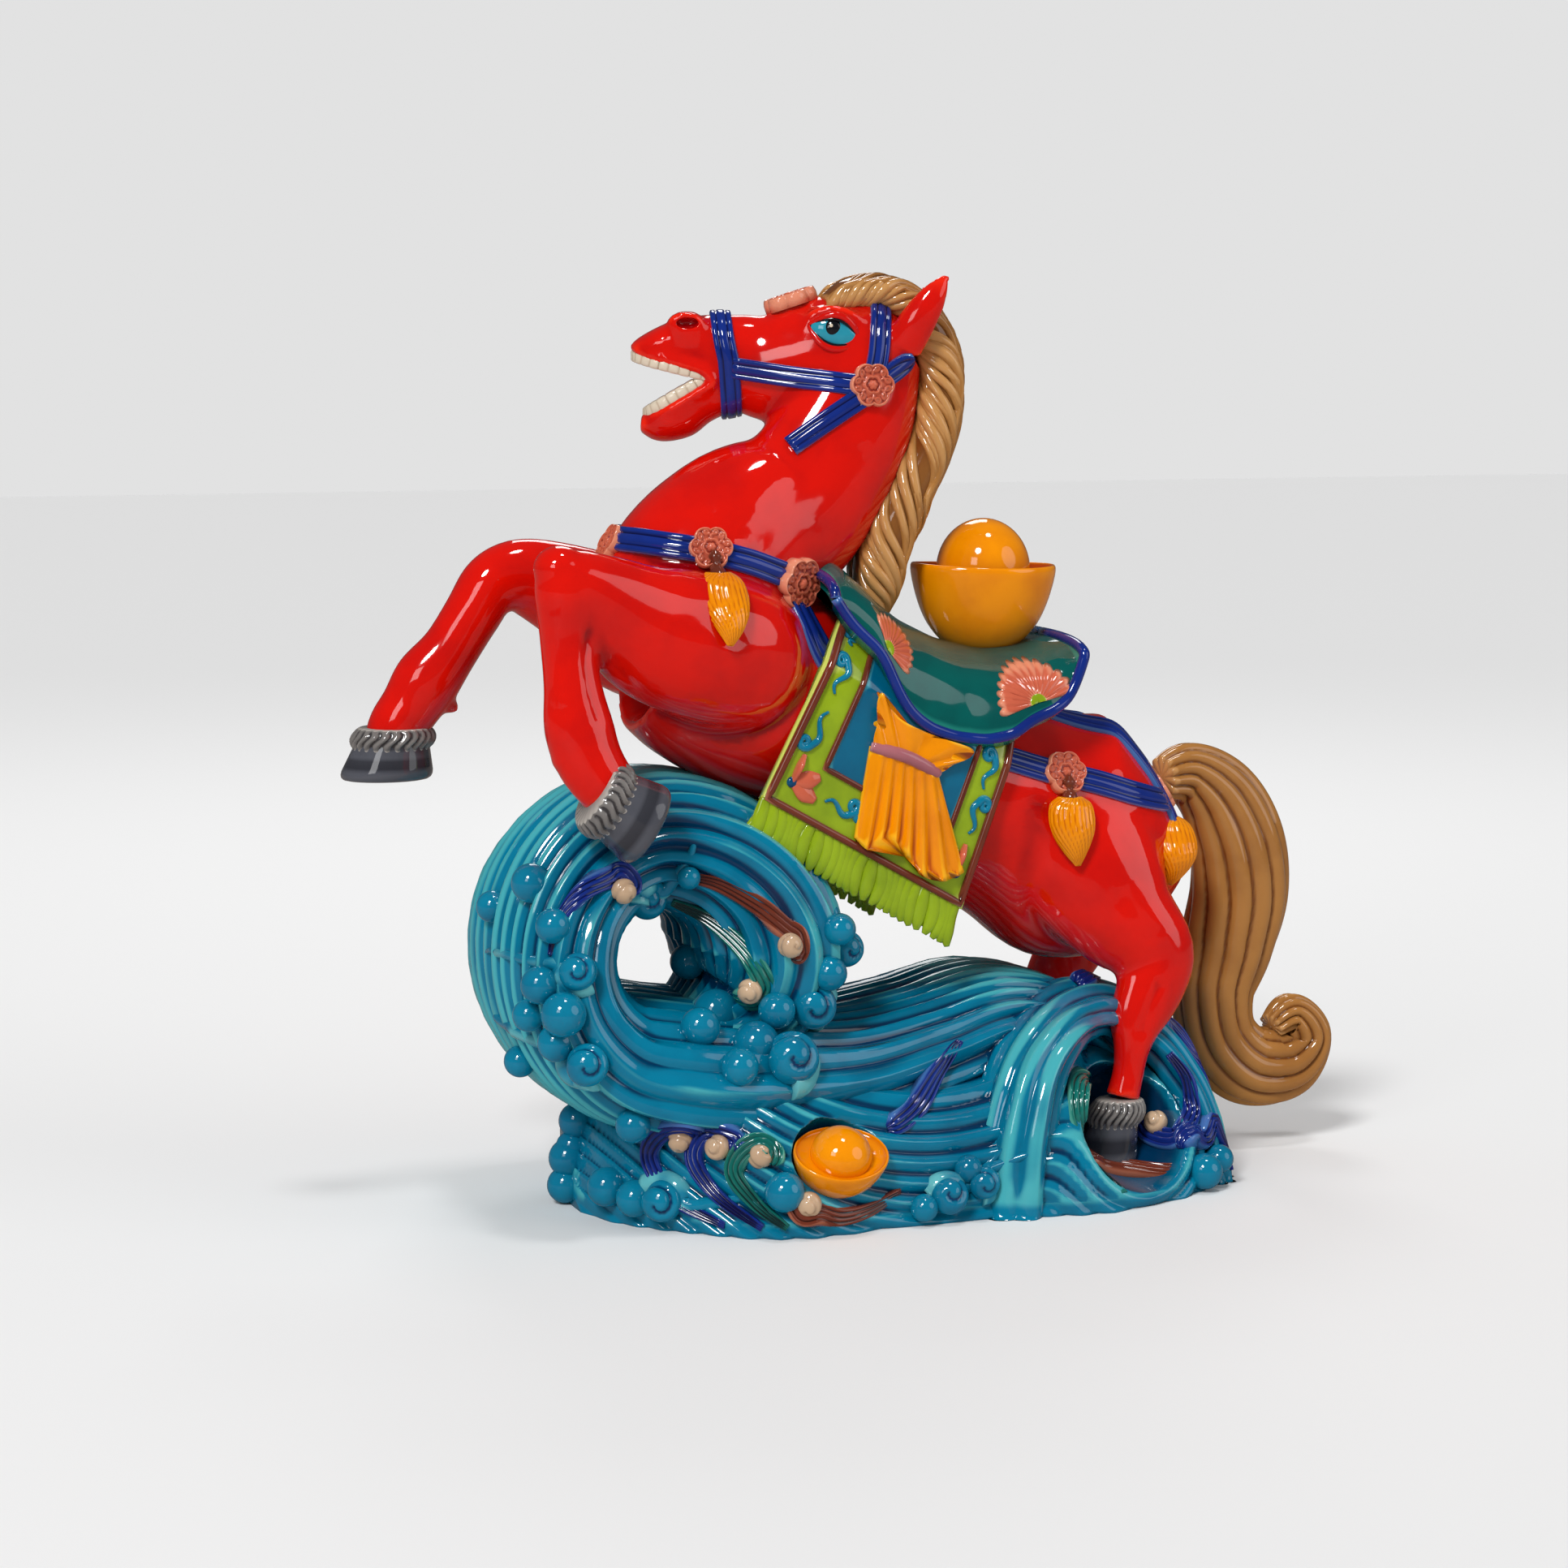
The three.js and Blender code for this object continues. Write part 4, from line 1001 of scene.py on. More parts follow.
def rosette_shell(radius=9.0):
    """Six pointed lobes with pairs of scrolls round a ringed button, facing +Z."""
    rings, sides = 28, 96
    share = np.linspace(0.0, 1.0, rings)[:, None]
    angle = 2 * math.pi * np.arange(sides)[None, :] / sides
    edge = radius * (0.84 + 0.16 * np.abs(np.cos(3 * angle)) ** 0.8)
    height = 2.6 + 0 * share * angle
    height += 1.5 * np.clip(1 - (share / 0.21) ** 2, 0, 1) ** 0.5
    height += 1.0 * np.exp(-((share - 0.37) / 0.045) ** 2)
    height += 1.1 * np.exp(-((share - 0.92) / 0.045) ** 2)
    for lobe in range(6):
        middle = math.pi / 3 * lobe
        for turn in (-0.25, 0.25):
            at = 0.72 * math.cos(middle + turn), 0.72 * math.sin(middle + turn)
            reach = np.hypot(share * np.cos(angle) - at[0], share * np.sin(angle) - at[1])
            height += 1.2 * np.exp(-((reach - 0.10) / 0.03) ** 2) + 0.9 * np.exp(-(reach / 0.035) ** 2)
        away = np.abs(np.angle(np.exp(1j * (angle - middle - math.pi / 6))))
        height += 0.9 * np.exp(-(away / 0.07) ** 2) * np.clip(1 - np.abs(share - 0.6) / 0.22, 0, 1)
    height = np.where(share >= 0.999, 1.6, height)
    radii = share * edge + 0.02
    top = np.stack([radii * np.cos(angle), radii * np.sin(angle), height * radius / 10], axis=-1)
    around = angle[0]
    back = np.stack([edge[0] * np.cos(around), edge[0] * np.sin(around), 0 * around - 1.5], axis=-1)
    return skin(np.concatenate([top, back[None]], axis=0))


def tassel_shells(lean):
    """A knot, a cord's end and a full skirt of threads, hanging from the origin down -Z."""
    skirt = [
        [0, 0, -6.0, 5.4, 4.2], [0, 0, -8.5, 9.0, 6.8], [0.1 * lean, 0, -15, 10.6, 7.8],
        [0.3 * lean, 0, -22, 9.4, 7.2], [0.7 * lean, 0, -29, 5.8, 4.6], [1.3 * lean, 0, -35.5, 1.3, 1.2],
    ]
    knot = [
        [0, 0, 3, 1.2, 1.2], [0, 0, 0.5, 2.8, 3.0], [0, 0, -2.5, 1.6, 1.7], [0, 0, -4.2, 2.8, 3.4],
        [0, 0, -6.8, 3.2, 4.0], [0, 0, -8, 2.4, 3.0],
    ]

    def threads(turn, place):
        return flutes(turn + 0.07 * np.sin(4 * place), 22, 1.1)

    return loft(skirt, 80, 9, carve=threads), loft(knot, 24, 8)


# Where each rosette sits, seen from the side, and its radius
ROSETTES_ON_SIDE = {
    "breast": [-82, 283, 9.5], "shoulder": [-42, 268, 11.5], "croup": [77, 182, 10], "rump": [134, 168, 9],
}
# The lean of each tassel: to the rear above zero, to the front below it
TASSELS = {"breast": -1, "croup": 1, "rump": -2}
# Seen from the side, in the head's own frame
CHEEK_ROSETTE = [-3, 351]


def middle_of(laid):
    """The place and the facing half-way along a line that was laid on a surface."""
    places, facing = laid
    middle = len(places) // 2
    return places[middle], facing[middle]


def trim_shells(tree):
    """Rosettes and tassels, where the straps meet."""
    rosettes, skirts, knots = [], [], []
    for side in (NEAR, FAR):
        for name, (x, z, radius) in ROSETTES_ON_SIDE.items():
            place, facing = middle_of(from_side(tree, side, [[x - 3, z], [x + 3, z]], 8))
            spot = frame_at(place + 1.2 * facing, facing)
            rosettes.append(moved(rosette_shell(radius), spot))
            if name in TASSELS:
                top = place + np.array([0, side * 6.5, -3.0])
                for shell, kind in zip(tassel_shells(TASSELS[name]), (skirts, knots)):
                    kind.append(hung(shell, top, tree, side))
        x, z = CHEEK_ROSETTE
        place, facing = middle_of(head_side(tree, side, [[x - 2, z], [x + 2, z]], 8))
        rosettes.append(moved(rosette_shell(10.0), frame_at(place, facing)))
    place, facing = cast(tree, (-OUTSIDE, 0, 284), (1, 0, 0))
    rosettes.append(moved(rosette_shell(), frame_at(place, facing)))
    rotation = HEAD_PLACE[:, :3]
    place, facing = cast(tree, rotation @ np.array([-36.5, 0, 500]) + HEAD_PLACE[:, 3], (0, 0, -1))
    rosettes.append(moved(rosette_shell(12.0), frame_at(place, facing, (1, 0, 0))))
    return rosettes, skirts, knots


def hung(shell, top, tree, side):
    """A tassel's part in its place, laid over what swells out below it."""
    verts, faces = shell
    drops = np.arange(0.0, 44.0, 4.0)
    swells = []
    for drop in drops:
        place, _ = cast(tree, (top[0], side * OUTSIDE, top[2] - drop), (0, -side, 0))
        swells.append(side * (place[1] - top[1]) + 4.5)
    out = np.clip(np.maximum(swells, -0.1 * drops), None, 0.8 * drops)
    out = eased(out[:, None], 3)[:, 0]
    placed = verts + top
    placed[:, 1] += side * np.interp(-verts[:, 2], drops, out)
    return placed, faces


# Saddle, blanket, sash and ingots

SADDLE_HEM = [
    [-31, 262], [-25, 252], [-17, 244], [-11, 239], [-8, 231], [-5, 223], [1, 213], [10, 206],
    [21, 202], [36, 200], [49, 202], [57, 208], [68, 212], [76, 217], [80, 226], [83, 234],
]
SADDLE_RIDGE = [
    [-31, 272], [-24, 279], [-10, 266], [8, 251], [28, 241], [48, 236], [66, 237], [78, 240], [83, 241],
]
SADDLE_HALF_WIDTH = [[-31, 48], [-10, 52], [28, 54], [66, 53], [83, 49]]
SEAT_FLOWERS = [
    {"at": [-9, 240], "reach": 15.0, "from": -52, "to": 104},
    {"at": [60, 215], "reach": 18.5, "from": 12, "to": 200},
]


def along_table(table, x):
    """The second column of a table at places along its first."""
    table = np.asarray(table, float)
    return np.interp(x, table[:, 0], table[:, 1])


def saddle_grid():
    """Points over the saddle, from its near hem across the ridge to its far hem."""
    sides = 64
    xs = np.linspace(-31, 83, 90)
    hem = eased(along_table(SADDLE_HEM, xs), 6)
    ridge = eased(along_table(SADDLE_RIDGE, xs), 12)
    half = along_table(SADDLE_HALF_WIDTH, xs)
    angle = np.linspace(0, math.pi, sides)[None, :]
    y = -half[:, None] * np.sign(np.cos(angle)) * np.abs(np.cos(angle)) ** 0.8
    z = hem[:, None] + (ridge - hem)[:, None] * np.sin(angle) ** 0.9
    return np.stack([np.repeat(xs[:, None], sides, axis=1), y, z], axis=-1)


def saddle_rim(grid):
    """The border of the saddle, once round."""
    near, far = grid[:, 0], grid[:, -1]
    return eased(np.vstack([near, grid[-1, 1:], far[::-1][1:], grid[0, ::-1][1:]]), 4)


def flower_shells(tree, side):
    """The fans of petals on one side of the seat, and their hearts."""
    petals, hearts = [], []
    for flower in SEAT_FLOWERS:
        x, z = flower["at"]
        angle = np.radians(np.linspace(flower["from"], flower["to"], 90))
        petal_count = round((flower["to"] - flower["from"]) / 13)
        turn = np.linspace(0, 1, 90)
        lobe = np.abs(np.sin(math.pi * petal_count * turn)) ** 0.5
        reach = flower["reach"] * (0.84 + 0.16 * lobe)
        petals.append(raised_patch(tree, side, (x, z), angle, 3.6, reach, 0.3 + 1.0 * lobe))
        hearts.append(raised_patch(tree, side, (x, z), angle, 0.2, 4.2 + 0 * lobe, 0.9 + 0 * lobe))
    return petals, hearts


def raised_patch(tree, side, centre, angle, inner, outer, height):
    """A fan of the surface, raised a little, between two distances from its centre."""
    share = np.linspace(0, 1, 8)[:, None]
    reach = inner + share * (outer[None, :] - inner)
    xs = np.clip(centre[0] + reach * np.cos(angle), -30, 82)
    zs = np.maximum(centre[1] + reach * np.sin(angle), along_table(SADDLE_HEM, xs) + 1.5)
    starts = [(x, side * OUTSIDE, z) for x, z in zip(xs.ravel(), zs.ravel())]
    hits = [cast(tree, start, (0, -side, 0)) for start in starts]
    places = np.array([hit[0] for hit in hits]).reshape(*xs.shape, 3)
    out = np.array([0, side, 0.35])
    rise = (height[None, :] * (0.5 + 0.5 * share) * (1 - share ** 8))[..., None]
    return slab(places + out * rise, places - out * 0.8)


def ingot_shells(place, long, wide_share, high_share, lean, tilt):
    """A deep boat-shaped bowl with a smooth egg in it, leant over and tilted by two angles."""
    bowl = [
        [0, 0], [0.13, 0.0], [0.25, 0.06], [0.37, 0.2], [0.455, 0.4], [0.5, 0.64], [0.485, 0.66],
        [0.46, 0.62], [0.3, 0.57], [0.0, 0.56],
    ]
    rows = spline([[r, 0, z] for r, z in bowl], 6)
    rows[[0, -1], 0] = 0.0
    verts, faces = spun(rows[:, [0, 2]], 72)
    lift = 0.008 * (verts[:, 0] ** 2 - verts[:, 1] ** 2) / 0.25 * np.clip(verts[:, 2] / 0.6, 0, 1) ** 2
    verts[:, 2] += lift
    sizes = np.array([long, wide_share * long, high_share * long])
    bowl = verts * sizes, faces
    dome = egg((0, 0, 0.62 * sizes[2]), tuple(sizes * np.array([0.315, 0.39, 0.385])), 48, 32)
    c, s = math.cos(math.radians(lean)), math.sin(math.radians(lean))
    turn_x = np.array([[1, 0, 0], [0, c, -s], [0, s, c]])
    c, s = math.cos(math.radians(tilt)), math.sin(math.radians(tilt))
    turn_y = np.array([[c, 0, s], [0, 1, 0], [-s, 0, c]])
    matrix = np.column_stack([turn_y @ turn_x, np.array(place, float)])
    return [moved(bowl, matrix), moved(dome, matrix)]


# The blanket hangs in a frame that slopes down to the rear with the horse's back
BACK = {"x": 24, "z": 185, "slope": math.radians(29.7)}
BLANKET = {"half_width": 48.6, "low": -50, "high": 34, "thickness": 4.0, "length": 104.0}


def on_blanket(side, share, above, out=0.0):
    """A point of the blanket: its share from front to rear, its height on the back's frame."""
    share, above, out = np.broadcast_arrays(share, above, out)
    front = -73.5 - 0.04 * (above + 50)
    rear = 31 - 0.17 * (above + 50)
    along = front + share * (rear - front)
    bulge = 1.6 * (1 - ((above + 12) / 48) ** 2) * (1 - (2 * share - 1) ** 4)
    leaning = 0.45 * np.maximum(above - 14, 0)
    y = side * (BLANKET["half_width"] + bulge + out - leaning)
    c, s = math.cos(BACK["slope"]), math.sin(BACK["slope"])
    return np.stack([BACK["x"] + along * c + above * s, y, BACK["z"] - along * s + above * c], axis=-1)


def blanket_patch(side, first, last, low, high, out):
    """A plate of the blanket between two shares and two heights."""
    share = np.linspace(first, last, 40)[:, None]
    above = np.linspace(low, high, 40)[None, :]
    inner = -BLANKET["thickness"] if out == 0 else -0.5
    return slab(on_blanket(side, share, above, out), on_blanket(side, share, above, inner))


def blanket_line(side, points, half_width, height):
    """A raised strip on the blanket through points [share, above]."""
    points = np.asarray(points, float)
    legs = [np.linspace(start, end, 24, endpoint=False) for start, end in zip(points, points[1:])]
    dense = np.vstack([*legs, points[-1:]])
    path = on_blanket(side, dense[:, 0], dense[:, 1], 0.0)
    facing = np.tile(np.array([0.0, side, 0.0]), (len(path), 1))
    profile = [[-1, -0.5], [-1, 0.5], [-0.6, 0.95], [0, 1.05], [0.6, 0.95], [1, 0.5], [1, -0.5]]
    return sweep(path, facing, half_width, height, profile)


# The blue field inside the border: its shares from front to rear and its lower edge
FIELD = {"front": 0.19, "rear": 0.82, "low": -25.5}


def scroll(side, start, end, flip):
    """An S of clay with a curled head, between two points [share, above] of the blanket."""
    start, end = np.array(start, float), np.array(end, float)
    stem = (end - start) * np.array([BLANKET["length"], 1.0])
    along = stem / np.linalg.norm(stem)
    across = np.array([-along[1], along[0]]) * flip
    t = np.linspace(0, 1, 24)[:, None]
    body = t * stem + across * 2.0 * np.sin(2 * math.pi * t)
    turn = np.linspace(0, 1.35 * 2 * math.pi, 30)[:, None]
    radius = 3.1 * (1 - 0.72 * turn / turn[-1])
    middle = stem + across * 3.1
    curl = middle + radius * (along * np.sin(turn) - across * np.cos(turn))
    flat = np.vstack([body, curl[1:]])
    share = start[0] + flat[:, 0] / BLANKET["length"]
    places = on_blanket(side, share, start[1] + flat[:, 1], 0.3)
    size = np.concatenate([np.linspace(0.6, 1.8, len(body)), np.linspace(1.8, 1.1, len(curl) - 1)])
    return tube(eased(places, 2), size, 8)


# Each scroll: its two ends [share, above], and the side it bends to
SCROLLS = [
    [[0.09, 4], [0.09, 18], 1], [[0.10, -4], [0.09, -20], -1], [[0.25, -38], [0.38, -37], 1],
    [[0.50, -37], [0.42, -38], -1], [[0.60, -38], [0.70, -37], 1], [[0.91, -20], [0.91, -6], -1],
    [[0.91, 0], [0.91, 14], 1], [[0.09, 26], [0.09, 31], 1],
]
CORNERS = [[0.085, -37.5], [0.915, -37.5]]


def corner_flower(side, spot):
    """Three petals and a bead, in a corner of the blanket."""
    inward = 1 if spot[0] < 0.5 else -1
    root = on_blanket(side, spot[0], spot[1], 0.2)
    across = on_blanket(side, spot[0], spot[1] + 1) - root

    def away(reach, degrees):
        angle = math.radians(degrees)
        share = spot[0] + inward * reach * math.cos(angle) / BLANKET["length"]
        return on_blanket(side, share, spot[1] + reach * math.sin(angle), 0.2)

    petals = []
    for degrees in (35, 90, -10):
        middle, tip = away(7.5, degrees), away(13, degrees)
        stations = [[*root, 1.0, 1.6], [*middle, 1.6, 4.2], [*tip, 0.9, 1.8]]
        petals.append(loft(stations, 16, 8, across=across))
    return petals, egg(on_blanket(side, *spot, 0.4), (2.4, 1.5, 2.4))


# Each layer of the fringe: its share of the length, its lean and how far out it lies
FRINGE_LAYERS = [[1.0, 3.0, 0.4], [0.86, -3.5, -0.8]]


def fringe_shells(side):
    """Strands that swell and taper like leaves, in two layers that lean across each other."""
    strands = []
    many = number("fringe_strands")
    for layer, (part, lean, out) in enumerate(FRINGE_LAYERS):
        drop = part * millimetres("fringe_length")
        for i in range(many):
            share = (i + 0.5 + 0.4 * layer) / (many + 0.4)
            sway = 2.6 * math.sin(0.9 * i + 1.7 * layer) + 0.7 * math.sin(4.7 * i)
            rows = []
            for t, size in ((0, 2.6), (0.4, 3.5), (0.78, 3.0), (1.0, 1.2)):
                shift = (lean * t + sway * math.sin(math.pi * t)) / BLANKET["length"]
                level = BLANKET["low"] + 2 - drop * t
                place = on_blanket(side, min(max(share + shift, 0.0), 1.0), level, out - 1.4)
                rows.append([*place, size * 0.6, size])
            strands.append(loft(rows, 10, 5, across=(0.87, 0, -0.5)))
    return strands


SASH_TOP = [[-16, 199], [-15, 209], [-13, 222], [-5, 211], [11, 203], [30, 195], [21, 190], [14, 186]]
SASH_KNOT = [[-17, 199], [-1, 194], [14, 186]]
SASH_HEM = [[-24, 160], [-19, 155], [-12, 160], [-6, 158], [0, 151], [7, 142], [17, 140], [26, 143]]


def sash_shell(side, far_edge, folds, share_of_depth):
    """Cloth gathered at the knot and spread to its other edge, in soft folds."""
    depth = share_of_depth * millimetres("fold_depth")
    many = 60
    knot = spline([[x, 0, z] for x, z in SASH_KNOT], 40)
    knot = knot[np.linspace(0, len(knot) - 1, many).round().astype(int)]
    edge = spline([[x, 0, z] for x, z in far_edge], 20)
    edge = edge[np.linspace(0, len(edge) - 1, many).round().astype(int)]
    t = np.linspace(0, 1, 24)[:, None]
    u = np.linspace(0, 1, many)[None, :]
    flat = knot[None] * (1 - t[..., None]) + edge[None] * t[..., None]
    wave = 0.5 + 0.5 * np.cos(2 * math.pi * folds * u + 1.2 * t)
    rim = 1 - np.abs(2 * u - 1) ** 6
    out = 2.0 + (1.2 + depth * t ** 0.6 * wave + 1.5 * (1 - t)) * rim
    top = flat.copy()
    top[..., 1] = side * (BLANKET["half_width"] + 1.5 + out)
    bottom = flat.copy()
    bottom[..., 1] = side * (BLANKET["half_width"] + 1.0 + 0.5 * depth * wave * t * (t > 0.9))
    return slab(top, bottom)


def sash_band(side):
    """The tie round the sash, thinner at both ends."""
    knot = spline([[x, 0, z] for x, z in SASH_KNOT], 12)
    knot[:, 1] = side * (BLANKET["half_width"] + 4.2 + 2.0 * np.sin(np.linspace(0, math.pi, len(knot))))
    return tube(knot, 2.9 - 1.0 * np.abs(np.linspace(-1, 1, len(knot))) ** 4, 14)


# On the water: ribbons of clay, balls of foam and the two hollows

RIBBON_PROFILE = [
    [-1, -0.8], [-1, 0.35], [-0.85, 0.75], [-0.62, 0.75], [-0.5, 0.3], [-0.38, 0.85], [-0.12, 0.9],
    [0, 0.35], [0.12, 0.9], [0.38, 0.85], [0.5, 0.3], [0.62, 0.75], [0.85, 0.75], [1, 0.35], [1, -0.8],
]
# Each ribbon: its glaze, its line seen from the side, and the middle of its curled tip or None
RIBBONS = {
    "shoulder": ["navy", [[-159, 118], [-155, 132], [-145, 144], [-133, 149]], [-127, 141]],
    "over_eye": ["brown", [[-100, 147], [-85, 143], [-69, 134], [-59, 124]], [-59, 115]],
    "beside_eye": ["green", [[-100, 134], [-86, 127], [-74, 115], [-68, 104]], [-75, 95]],
    "front_1": ["navy", [[-93, 5], [-110, 14], [-117, 30], [-112, 43]], [-104, 39]],
    "front_2": ["navy", [[-80, 5], [-96, 18], [-102, 31], [-97, 41]], [-90, 35]],
    "front_3": ["green", [[-70, 5], [-82, 15], [-89, 27], [-84, 36]], [-76, 30]],
    "front_4": ["brown", [[-18, 15], [-34, 9], [-48, 8], [-58, 10]], [-61, 17]],
    "middle": ["navy", [[21, 71], [8, 60], [-5, 46], [-20, 40]], None],
    "hoof_left": ["green", [[82, 8], [71, 22], [66, 36], [68, 48]], [76, 45]],
    "hoof_right": ["navy", [[122, 58], [130, 46], [131, 34], [124, 26]], [113, 28]],
    "rim_brown": ["brown", [[128, 12], [108, 10], [88, 12], [76, 18]], None],
}
# Ribbons over the rim of the water, whose lines are seen from above
RIM_RIBBONS = {
    "rim_navy": ["navy", [[146, -44], [136, -42], [126, -40], [119, -44]]],
    "rim_top": ["navy", [[100, -26], [93, -30], [86, -34]]],
    "rim_low": ["navy", [[150, -60], [140, -62], [130, -66], [120, -72]]],
}
FAR_RIM_RIBBONS = {
    "far_rim": ["navy", [[150, 44], [138, 42], [126, 40]]],
    "far_rim_low": ["green", [[146, 58], [134, 54], [122, 52]]],
}


def whorl(radius, turns, depth=0.16):
    """A ball with a groove that winds in to the middle of its front, which faces +Z."""
    rings, sides = 26, 44
    polar = np.linspace(0.0, math.pi, rings)[:, None]
    angle = 2 * math.pi * np.arange(sides)[None, :] / sides
    wind = polar / (0.62 * math.pi) * turns - angle / (2 * math.pi)
    phase = wind - np.floor(wind)
    groove = np.exp(-((phase - 0.5) / 0.13) ** 2) * np.clip((0.68 * math.pi - polar) / 0.3, 0, 1)
    groove *= np.clip(polar / 0.2, 0, 1)
    reach = radius * (1 - depth * groove)
    sine = np.maximum(np.sin(polar), 0.002)
    places = np.stack([
        reach * sine * np.cos(angle), reach * sine * np.sin(angle),
        reach * np.cos(polar) * np.ones_like(angle),
    ], axis=-1)
    return skin(places[::-1])


def crozier(line, middle, reach=6.4, sweep_round=165):
    """The line with its end wound part of the way round a point."""
    end, before, middle = (np.array(point, float) for point in (line[-1], line[-2], middle))
    middle = end + reach * unit(middle - end)
    arm, heading = end - middle, end - before
    way = math.radians(sweep_round)
    if arm[0] * heading[1] - arm[1] * heading[0] < 0:
        way = -way
    start = math.atan2(arm[1], arm[0])
    more = []
    for share in (0.35, 0.7, 1.0):
        turn = start + way * share
        radius = reach * (1 - 0.15 * share)
        more.append([middle[0] + radius * math.cos(turn), middle[1] + radius * math.sin(turn)])
    return [list(point) for point in line] + more, middle


def ribbon_shell(laid):
    """A strip that grows out of the water and widens to its tip."""
    places, facing = laid
    half_width, height = 0.5 * millimetres("ribbon_width"), millimetres("ribbon_height")
    t = np.linspace(0, 1, len(places))
    width = half_width * (0.35 + 0.65 * np.sin(0.5 * math.pi * np.minimum(1.0, 1.5 * t)))
    blunt = np.sqrt(np.maximum(0.05, 1 - np.clip(8 * t - 7, 0, 1) ** 4))
    rise = height * np.minimum(1.0, 0.25 + 1.6 * t) * blunt
    width = width * np.sqrt(np.maximum(0.12, 1 - np.clip(7 * t - 6, 0, 1) ** 3))
    return sweep(places, facing, width, rise, RIBBON_PROFILE)


# Plain balls of foam: [x, z, radius]
FOAM_BALLS = [
    [-161, 145, 8.5], [-170, 131, 7], [-158, 130, 7.5], [-164, 106, 8], [-157, 95, 9.5], [-166, 92, 7],
    [-158, 82, 8], [-160, 66, 7], [-97, 146, 5],
    [-34, 122, 7], [-38, 104, 7.5], [-62, 90, 8], [-72, 76, 10], [-84, 70, 8], [-88, 100, 8],
    [-80, 86, 10], [-96, 84, 8.5],
    [-134, 36, 8], [-137, 8, 8], [-141, 27, 7], [-126, 46, 7.5],
    [-139, 20, 8.5], [-130, 15, 8.5], [-122, 12, 8], [-70, 20, 8.5],
    [14, 22, 6], [-8, 8, 6], [130, 9, 8], [141, 12, 6.5],
]
# Streams that end in a curl: place, radius, the way the stream leaves it and the side it bends to
FOAM_CURLS = [
    [-112, 136, 8.6, 35, 1], [-27, 112, 8.0, 115, -1], [-44, 90, 10.0, 70, -1], [-60, 71, 11.5, 45, -1],
    [-148, 74, 9.0, 150, 1], [-113, 13, 9.0, -8, 1], [4, 11, 8.5, 15, 1], [20, 16, 7.0, 50, -1],
    [-150, 112, 8.0, 160, 1],
]


def curl_stream(tree, x, z, radius, degrees, bend):
    """A stream that runs over the water and winds in under its curl of foam."""
    way = math.radians(degrees)
    line = []
    for share in np.linspace(0, 1, 5):
        turn = way + bend * math.radians(150) * (1 - share)
        line.append([x + 0.75 * radius * math.cos(turn), z + 0.75 * radius * math.sin(turn)])
    for reach in (1.9, 3.0, 4.0):
        turn = way + bend * 0.10 * reach
        line.append([x + reach * radius * math.cos(turn), z + reach * radius * math.sin(turn)])
    places, facing = from_side(tree, NEAR, line, 5)
    t = np.linspace(0, 1, len(places))
    return tube(places - 0.15 * radius * facing, radius * (0.66 - 0.56 * t ** 1.4), 14)


def foam_shells(tree):
    """Plain balls, and curls with the streams that wind in under them."""
    shells = []
    for x, z, radius, *curled in FOAM_BALLS + FOAM_CURLS:
        place, facing = cast(tree, (x, -OUTSIDE, z), (0, 1, 0))
        facing = unit(0.6 * facing + np.array([-0.3, -0.9, 0.1]))
        spot = frame_at(place + 0.25 * radius * facing, facing)
        ball = whorl(radius, 1.25, 0.24) if curled else egg((0, 0, 0), (radius, radius, radius), 28, 18)
        shells.append(moved(ball, spot))
    return shells + [curl_stream(tree, *curl) for curl in FOAM_CURLS]


HOOF_HOLLOW = {"at": (97, -92, 36), "radii": (31, 56, 30)}
INGOT_HOLLOW = {"at": (-45, -98, 34), "radii": (22, 24, 18)}


def hollowed(piece, shells):
    """The piece with the shells cut out of it."""
    for shell in shells:
        cutter = new_object("cutter", [shell])
        apply_modifier(piece, "BOOLEAN", operation="DIFFERENCE", solver="MANIFOLD", object=cutter)
        bpy.data.objects.remove(cutter)


# The face

UPPER_TEETH = [
    [-73, 11.2, 355.2], [-82, 11.2, 357.2], [-90, 10.6, 359.2], [-97, 8.6, 361.0],
    [-102.5, 5.0, 362.8], [-104.5, 0, 363.6],
]
LOWER_TEETH = [
    [-73.5, 10.2, 354.0], [-79, 10.2, 350.8], [-86.5, 9.8, 346.6], [-93.5, 8.2, 342.4],
    [-98, 4.6, 339.8], [-99.6, 0, 338.8],
]
TONGUE = [[-68, 0, 351, 3, 7], [-78, 0, 348, 4, 8], [-88, 0, 343, 3.5, 7], [-95, 0, 339.5, 2, 4]]


def tooth_row(line, side_count):
    """A row of teeth round the jaw, from one corner of the mouth to the other."""
    half = spline(line, 24)
    path = np.vstack([half, (half * np.array([1, -1, 1]))[::-1][1:]])
    t = np.linspace(-1, 1, len(path))
    gap = np.abs(np.cos(math.pi * side_count * t)) ** 0.16
    outward = unit(np.gradient(path, axis=0))
    outward = np.cross(outward, np.array([0.0, 0.0, 1.0]))
    profile = [[-1, -0.9], [-1, 0.5], [-0.7, 0.95], [0.7, 0.95], [1, 0.5], [1, -0.9]]
    return sweep(path, outward, 2.6 * (0.84 + 0.16 * gap), 1.7 * (0.55 + 0.45 * gap), profile)


